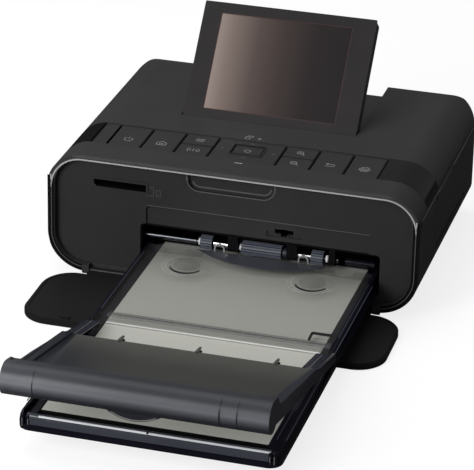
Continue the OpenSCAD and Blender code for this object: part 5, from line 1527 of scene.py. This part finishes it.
class Layout:
    """A material whose colour follows measured places on its piece."""

    def __init__(self, name: str, shift: float = 0.0) -> None:
        """Starts the material and splits up the piece's coordinates.

        Args:
            name: Name of the material.
            shift: Distance from the body's front plane to the model's origin, in millimetres.
        """
        self.material = bpy.data.materials.new(name)
        self.material.use_nodes = True
        self.tree = self.material.node_tree
        self.nodes, self.link = self.tree.nodes, self.tree.links.new
        self.shader, self.shift = self.nodes["Principled BSDF"], shift
        self.place = self.nodes.new("ShaderNodeTexCoord")
        parts = self.nodes.new("ShaderNodeSeparateXYZ")
        self.link(self.place.outputs["Object"], parts.inputs[0])
        self.x, self.y, self.z = parts.outputs

    def ramp(self, source: bpy.types.NodeSocket, stops: Stops, shift: float = 0.0) -> bpy.types.NodeSocket:
        """Turns a distance into a colour.

        Args:
            source: The distance in metres.
            stops: Distances in millimetres and the colour or grey at each.
            shift: Distance that is added to every stop.

        Returns:
            The colour socket.
        """
        low, high = stops[0][0], stops[-1][0]
        span = self.nodes.new("ShaderNodeMapRange")
        span.inputs["From Min"].default_value = (low + shift) * MM
        span.inputs["From Max"].default_value = (high + shift) * MM
        tones = self.nodes.new("ShaderNodeValToRGB")
        first, last = tones.color_ramp.elements
        first.position, last.position = 0.0, 1.0
        first.color, last.color = self._rgba(stops[0][1]), self._rgba(stops[-1][1])
        for where, colour in stops[1:-1]:
            tones.color_ramp.elements.new((where - low) / (high - low)).color = self._rgba(colour)
        self.link(source, span.inputs["Value"])
        self.link(span.outputs["Result"], tones.inputs["Fac"])
        return tones.outputs["Color"]

    @staticmethod
    def _rgba(colour: Triple | float) -> tuple[float, float, float, float]:
        """Gives a colour or a grey with its opacity."""
        return (*colour, 1.0) if isinstance(colour, tuple) else (colour, colour, colour, 1.0)

    def slant(self, slope: float, offset: float) -> bpy.types.NodeSocket:
        """Gives the distance across from a line that slants with the depth.

        Args:
            slope: Change across for each millimetre of depth.
            offset: Distance at the body's front plane, in millimetres.

        Returns:
            The distance in metres.
        """
        term = self.nodes.new("ShaderNodeMath")
        term.operation = "MULTIPLY_ADD"
        term.inputs[1].default_value = slope
        self.link(self.y, term.inputs[0])
        self.link(self.x, term.inputs[2])
        shifted = self.nodes.new("ShaderNodeMath")
        shifted.operation = "ADD"
        shifted.inputs[1].default_value = (offset - slope * self.shift) * MM
        self.link(term.outputs[0], shifted.inputs[0])
        return shifted.outputs[0]

    def blend(self, factor: bpy.types.NodeSocket, first: bpy.types.NodeSocket,
              second: bpy.types.NodeSocket | Triple) -> bpy.types.NodeSocket:
        """Mixes two colours.

        Args:
            factor: Share of the second colour.
            first: The first colour.
            second: The second colour, or the socket that gives it.

        Returns:
            The mixed colour.
        """
        mix = self.nodes.new("ShaderNodeMix")
        mix.data_type = "RGBA"
        self.link(factor, mix.inputs["Factor"])
        self.link(first, mix.inputs["A"])
        if isinstance(second, tuple):
            mix.inputs["B"].default_value = (*second, 1)
        else:
            self.link(second, mix.inputs["B"])
        return mix.outputs["Result"]

    def cloud(self, groups: Groups, scale: float, low: float, high: float) -> None:
        """Gives the surface its uneven gloss.

        Args:
            groups: The shared node groups.
            scale: Scale of the gloss's changes.
            low: Roughness where it shines most.
            high: Roughness where it shines least.
        """
        gloss = place_group(self.tree, groups.cloud, Scale=scale, Low=low, High=high)
        self.link(gloss.outputs["Roughness"], self.shader.inputs["Roughness"])

    def finish(self, colour: bpy.types.NodeSocket, specular: float) -> bpy.types.Material:
        """Connects the finished colour.

        Args:
            colour: The colour.
            specular: Specular level.

        Returns:
            The material.
        """
        self.link(colour, self.shader.inputs["Base Color"])
        self.shader.inputs["Specular IOR Level"].default_value = specular
        return self.material


@dataclass(frozen=True)
class DisplayFace:
    """Finish of the unlit display, with a painted reflection that makes it paler towards its left.

    Args:
        tones: Colour at each place across the display, with the painted reflection.
    """

    tones: Stops = (
        (-34.0, (0.42, 0.335, 0.305)), (-27.2, (0.29, 0.225, 0.2)), (-13.6, (0.13, 0.098, 0.088)),
        (0.0, (0.072, 0.054, 0.051)), (14.96, (0.036, 0.029, 0.03)), (34.0, (0.027, 0.024, 0.0255)))

    def material(self, groups: Groups) -> bpy.types.Material:
        """Builds the material.

        Args:
            groups: The shared node groups.

        Returns:
            The material.
        """
        layout = Layout("display_face")
        layout.cloud(groups, 30.0, 0.2, 0.32)
        # Painted reflection: the colour grows paler towards the display's left
        return layout.finish(layout.ramp(layout.x, self.tones), 0.3)


@dataclass(frozen=True)
class SmokedCover:
    """Finish of the outer cover: a grey plate with painted shade in its left front corner, darker blue cheeks
    in painted light and shade, and a pale rolled lip with a painted highlight band.

    Args:
        shift: Distance from the body's front plane to the model's origin, in millimetres.
        left_line: Slope and offset of the left cheek's edge.
        right_line: Slope and offset of the right cheek's edge.
        left_blue: Colour of the left cheek, kept darker than the right one as painted shade.
        right_blue: Colour of the right cheek, paler than the left one as painted light.
        end_blue: Colour of the cheeks' outer faces and of the painted shade in the plate's corner.
        opacity: Opacity to the eye and to the light that casts its shadow.
        plate: Colour of the plate at each depth.
        roll: Colour of the rolled lip at each height, with a painted highlight band across its middle and
            painted shade below it.
        fade: Strength of the lip's colour at each place across, brightest at its left end as painted light.
        corner_shade: Strength of the painted shade in the plate's left front corner at each distance from the
            left cheek.
        corner_shade_depth: The same at each depth.
    """

    shift: float
    left_line: Point = (0.0918, 48.4)
    right_line: Point = (-0.0763, -77.5)
    left_blue: Triple = (0.015, 0.017, 0.026)
    right_blue: Triple = (0.036, 0.038, 0.054)
    end_blue: Triple = (0.024, 0.026, 0.038)
    opacity: Point = (0.9, 0.25)
    plate: Stops = (
        (-180.0, (0.066, 0.071, 0.080)), (-171.0, (0.052, 0.054, 0.060)), (-168.5, (0.066, 0.066, 0.064)),
        (-140.0, (0.066, 0.067, 0.062)), (-111.0, (0.118, 0.119, 0.108)))
    roll: Stops = (
        (33.0, (0.018, 0.020, 0.028)), (38.4, (0.040, 0.043, 0.054)), (40.8, (0.115, 0.12, 0.137)),
        (42.6, (0.210, 0.219, 0.246)), (44.4, (0.145, 0.152, 0.170)), (46.2, (0.072, 0.076, 0.088)),
        (50.0, (0.050, 0.054, 0.062)))
    fade: Stops = ((-44.7, 1.0), (8.0, 0.72), (71.3, 0.8))
    corner_shade: Stops = ((-2.0, 0.95), (0.0, 0.95), (14.0, 0.6), (30.0, 0.0))
    corner_shade_depth: Stops = ((-180.0, 1.0), (-160.0, 1.0), (-138.0, 0.6), (-111.0, 0.05))

    def _ends(self, layout: Layout) -> bpy.types.NodeSocket:
        """Finds the faces that look sideways.

        Args:
            layout: The material so far.

        Returns:
            Their mask.
        """
        normal = layout.nodes.new("ShaderNodeSeparateXYZ")
        layout.link(layout.place.outputs["Normal"], normal.inputs[0])
        turned = layout.nodes.new("ShaderNodeMath")
        turned.operation = "ABSOLUTE"
        layout.link(normal.outputs["X"], turned.inputs[0])
        ends = layout.nodes.new("ShaderNodeMapRange")
        ends.inputs["From Min"].default_value, ends.inputs["From Max"].default_value = 0.6, 0.8
        layout.link(turned.outputs[0], ends.inputs["Value"])
        return ends.outputs["Result"]

    def _sheet(self, layout: Layout) -> bpy.types.NodeSocket:
        """Colours the plate with its painted shade corner and the two cheeks in painted light and shade.

        Args:
            layout: The material so far.

        Returns:
            The colour.
        """
        left_edge, right_edge = layout.slant(*self.left_line), layout.slant(*self.right_line)
        left = layout.ramp(left_edge, ((-2.0, 1.0), (-0.6, 1.0), (0.6, 0.0), (2.0, 0.0)))
        right = layout.ramp(right_edge, ((-2.0, 0.0), (-0.6, 0.0), (0.6, 1.0), (2.0, 1.0)))
        # Painted shade: the plate darkens in its left front corner
        corner_shade = layout.nodes.new("ShaderNodeMath")
        corner_shade.operation = "MULTIPLY"
        layout.link(layout.ramp(left_edge, self.corner_shade), corner_shade.inputs[0])
        layout.link(layout.ramp(layout.y, self.corner_shade_depth, self.shift), corner_shade.inputs[1])
        plate = layout.blend(corner_shade.outputs[0], layout.ramp(layout.y, self.plate, self.shift), self.end_blue)
        # Painted light and shade: the two cheeks take different blues
        return layout.blend(right, layout.blend(left, plate, self.left_blue), self.right_blue)

    def material(self, groups: Groups) -> bpy.types.Material:
        """Builds the material.

        Args:
            groups: The shared node groups.

        Returns:
            The material.
        """
        layout = Layout("smoked_cover", self.shift)
        # Painted highlight and shade: the lip turns pale in a band across its middle, darkens below it and is
        # brightest at its left end
        lip = layout.nodes.new("ShaderNodeMix")
        lip.data_type, lip.blend_type = "RGBA", "MULTIPLY"
        lip.inputs["Factor"].default_value = 1.0
        layout.link(layout.ramp(layout.z, self.roll), lip.inputs["A"])
        layout.link(layout.ramp(layout.x, self.fade), lip.inputs["B"])
        front = layout.ramp(layout.y, ((-183.0, 1.0), (-179.0, 1.0), (-176.0, 0.0)), self.shift)
        whole = layout.blend(front, self._sheet(layout), lip.outputs["Result"])
        whole = layout.blend(self._ends(layout), whole, self.end_blue)
        path = layout.nodes.new("ShaderNodeLightPath")
        veil = layout.nodes.new("ShaderNodeMapRange")
        veil.inputs["To Min"].default_value, veil.inputs["To Max"].default_value = self.opacity
        layout.link(path.outputs["Is Shadow Ray"], veil.inputs["Value"])
        layout.link(veil.outputs["Result"], layout.shader.inputs["Alpha"])
        layout.cloud(groups, 26.0, 0.26, 0.42)
        return layout.finish(whole, 0.22)


@dataclass(frozen=True)
class RibbedRubber:
    """Finish of the feed rollers, with painted shade between the ribs.

    Args:
        shift: Distance from the body's front plane to the model's origin, in millimetres.
        axis: Depth and height of the rollers' axis.
        tones: Colour at each distance from that axis, dark in the grooves as painted shade.
    """

    shift: float
    axis: Point = (10.0, 21.4)
    tones: Stops = ((3.08, (0.022, 0.026, 0.036)), (3.38, (0.115, 0.128, 0.165)))

    def material(self) -> bpy.types.Material:
        """Builds the material.

        Returns:
            The material.
        """
        layout = Layout("ribbed_rubber")
        flat = layout.nodes.new("ShaderNodeCombineXYZ")
        layout.link(layout.y, flat.inputs["Y"])
        layout.link(layout.z, flat.inputs["Z"])
        gap = layout.nodes.new("ShaderNodeVectorMath")
        gap.operation = "DISTANCE"
        gap.inputs[1].default_value = (0.0, (self.axis[0] + self.shift) * MM, self.axis[1] * MM)
        layout.link(flat.outputs["Vector"], gap.inputs[0])
        layout.shader.inputs["Roughness"].default_value = 0.5
        # Painted shade: the rubber darkens towards the grooves between the ribs
        return layout.finish(layout.ramp(gap.outputs["Value"], self.tones), 0.5)


def main() -> None:
    """Builds the printer's looks in order."""
    logging.basicConfig(level=logging.INFO, format="%(message)s")
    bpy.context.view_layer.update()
    datum = Datum(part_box("paper_stack")[1].y / MM - PAPER_REAR)
    Photograph(datum.shift).build()
    groups = Groups()
    shop = Paintshop(groups)
    picture = DisplayFace().material(groups)
    layouts = {"display_panel": picture, "outer_cover": SmokedCover(datum.shift).material(groups),
               "feed_rollers": RibbedRubber(datum.shift).material()}
    Shell(shop, layouts).dress()
    bench = Bench(datum, shop)
    for part in (KeyMarks(bench), Screen(bench, picture), Front(bench), Mouth(bench), Cassette(bench),
                 TrayFront(bench), Cover(bench)):
        part.build()
    LOG.info("made %d pieces", len(bench.made))


if __name__ == "__main__":
    main()
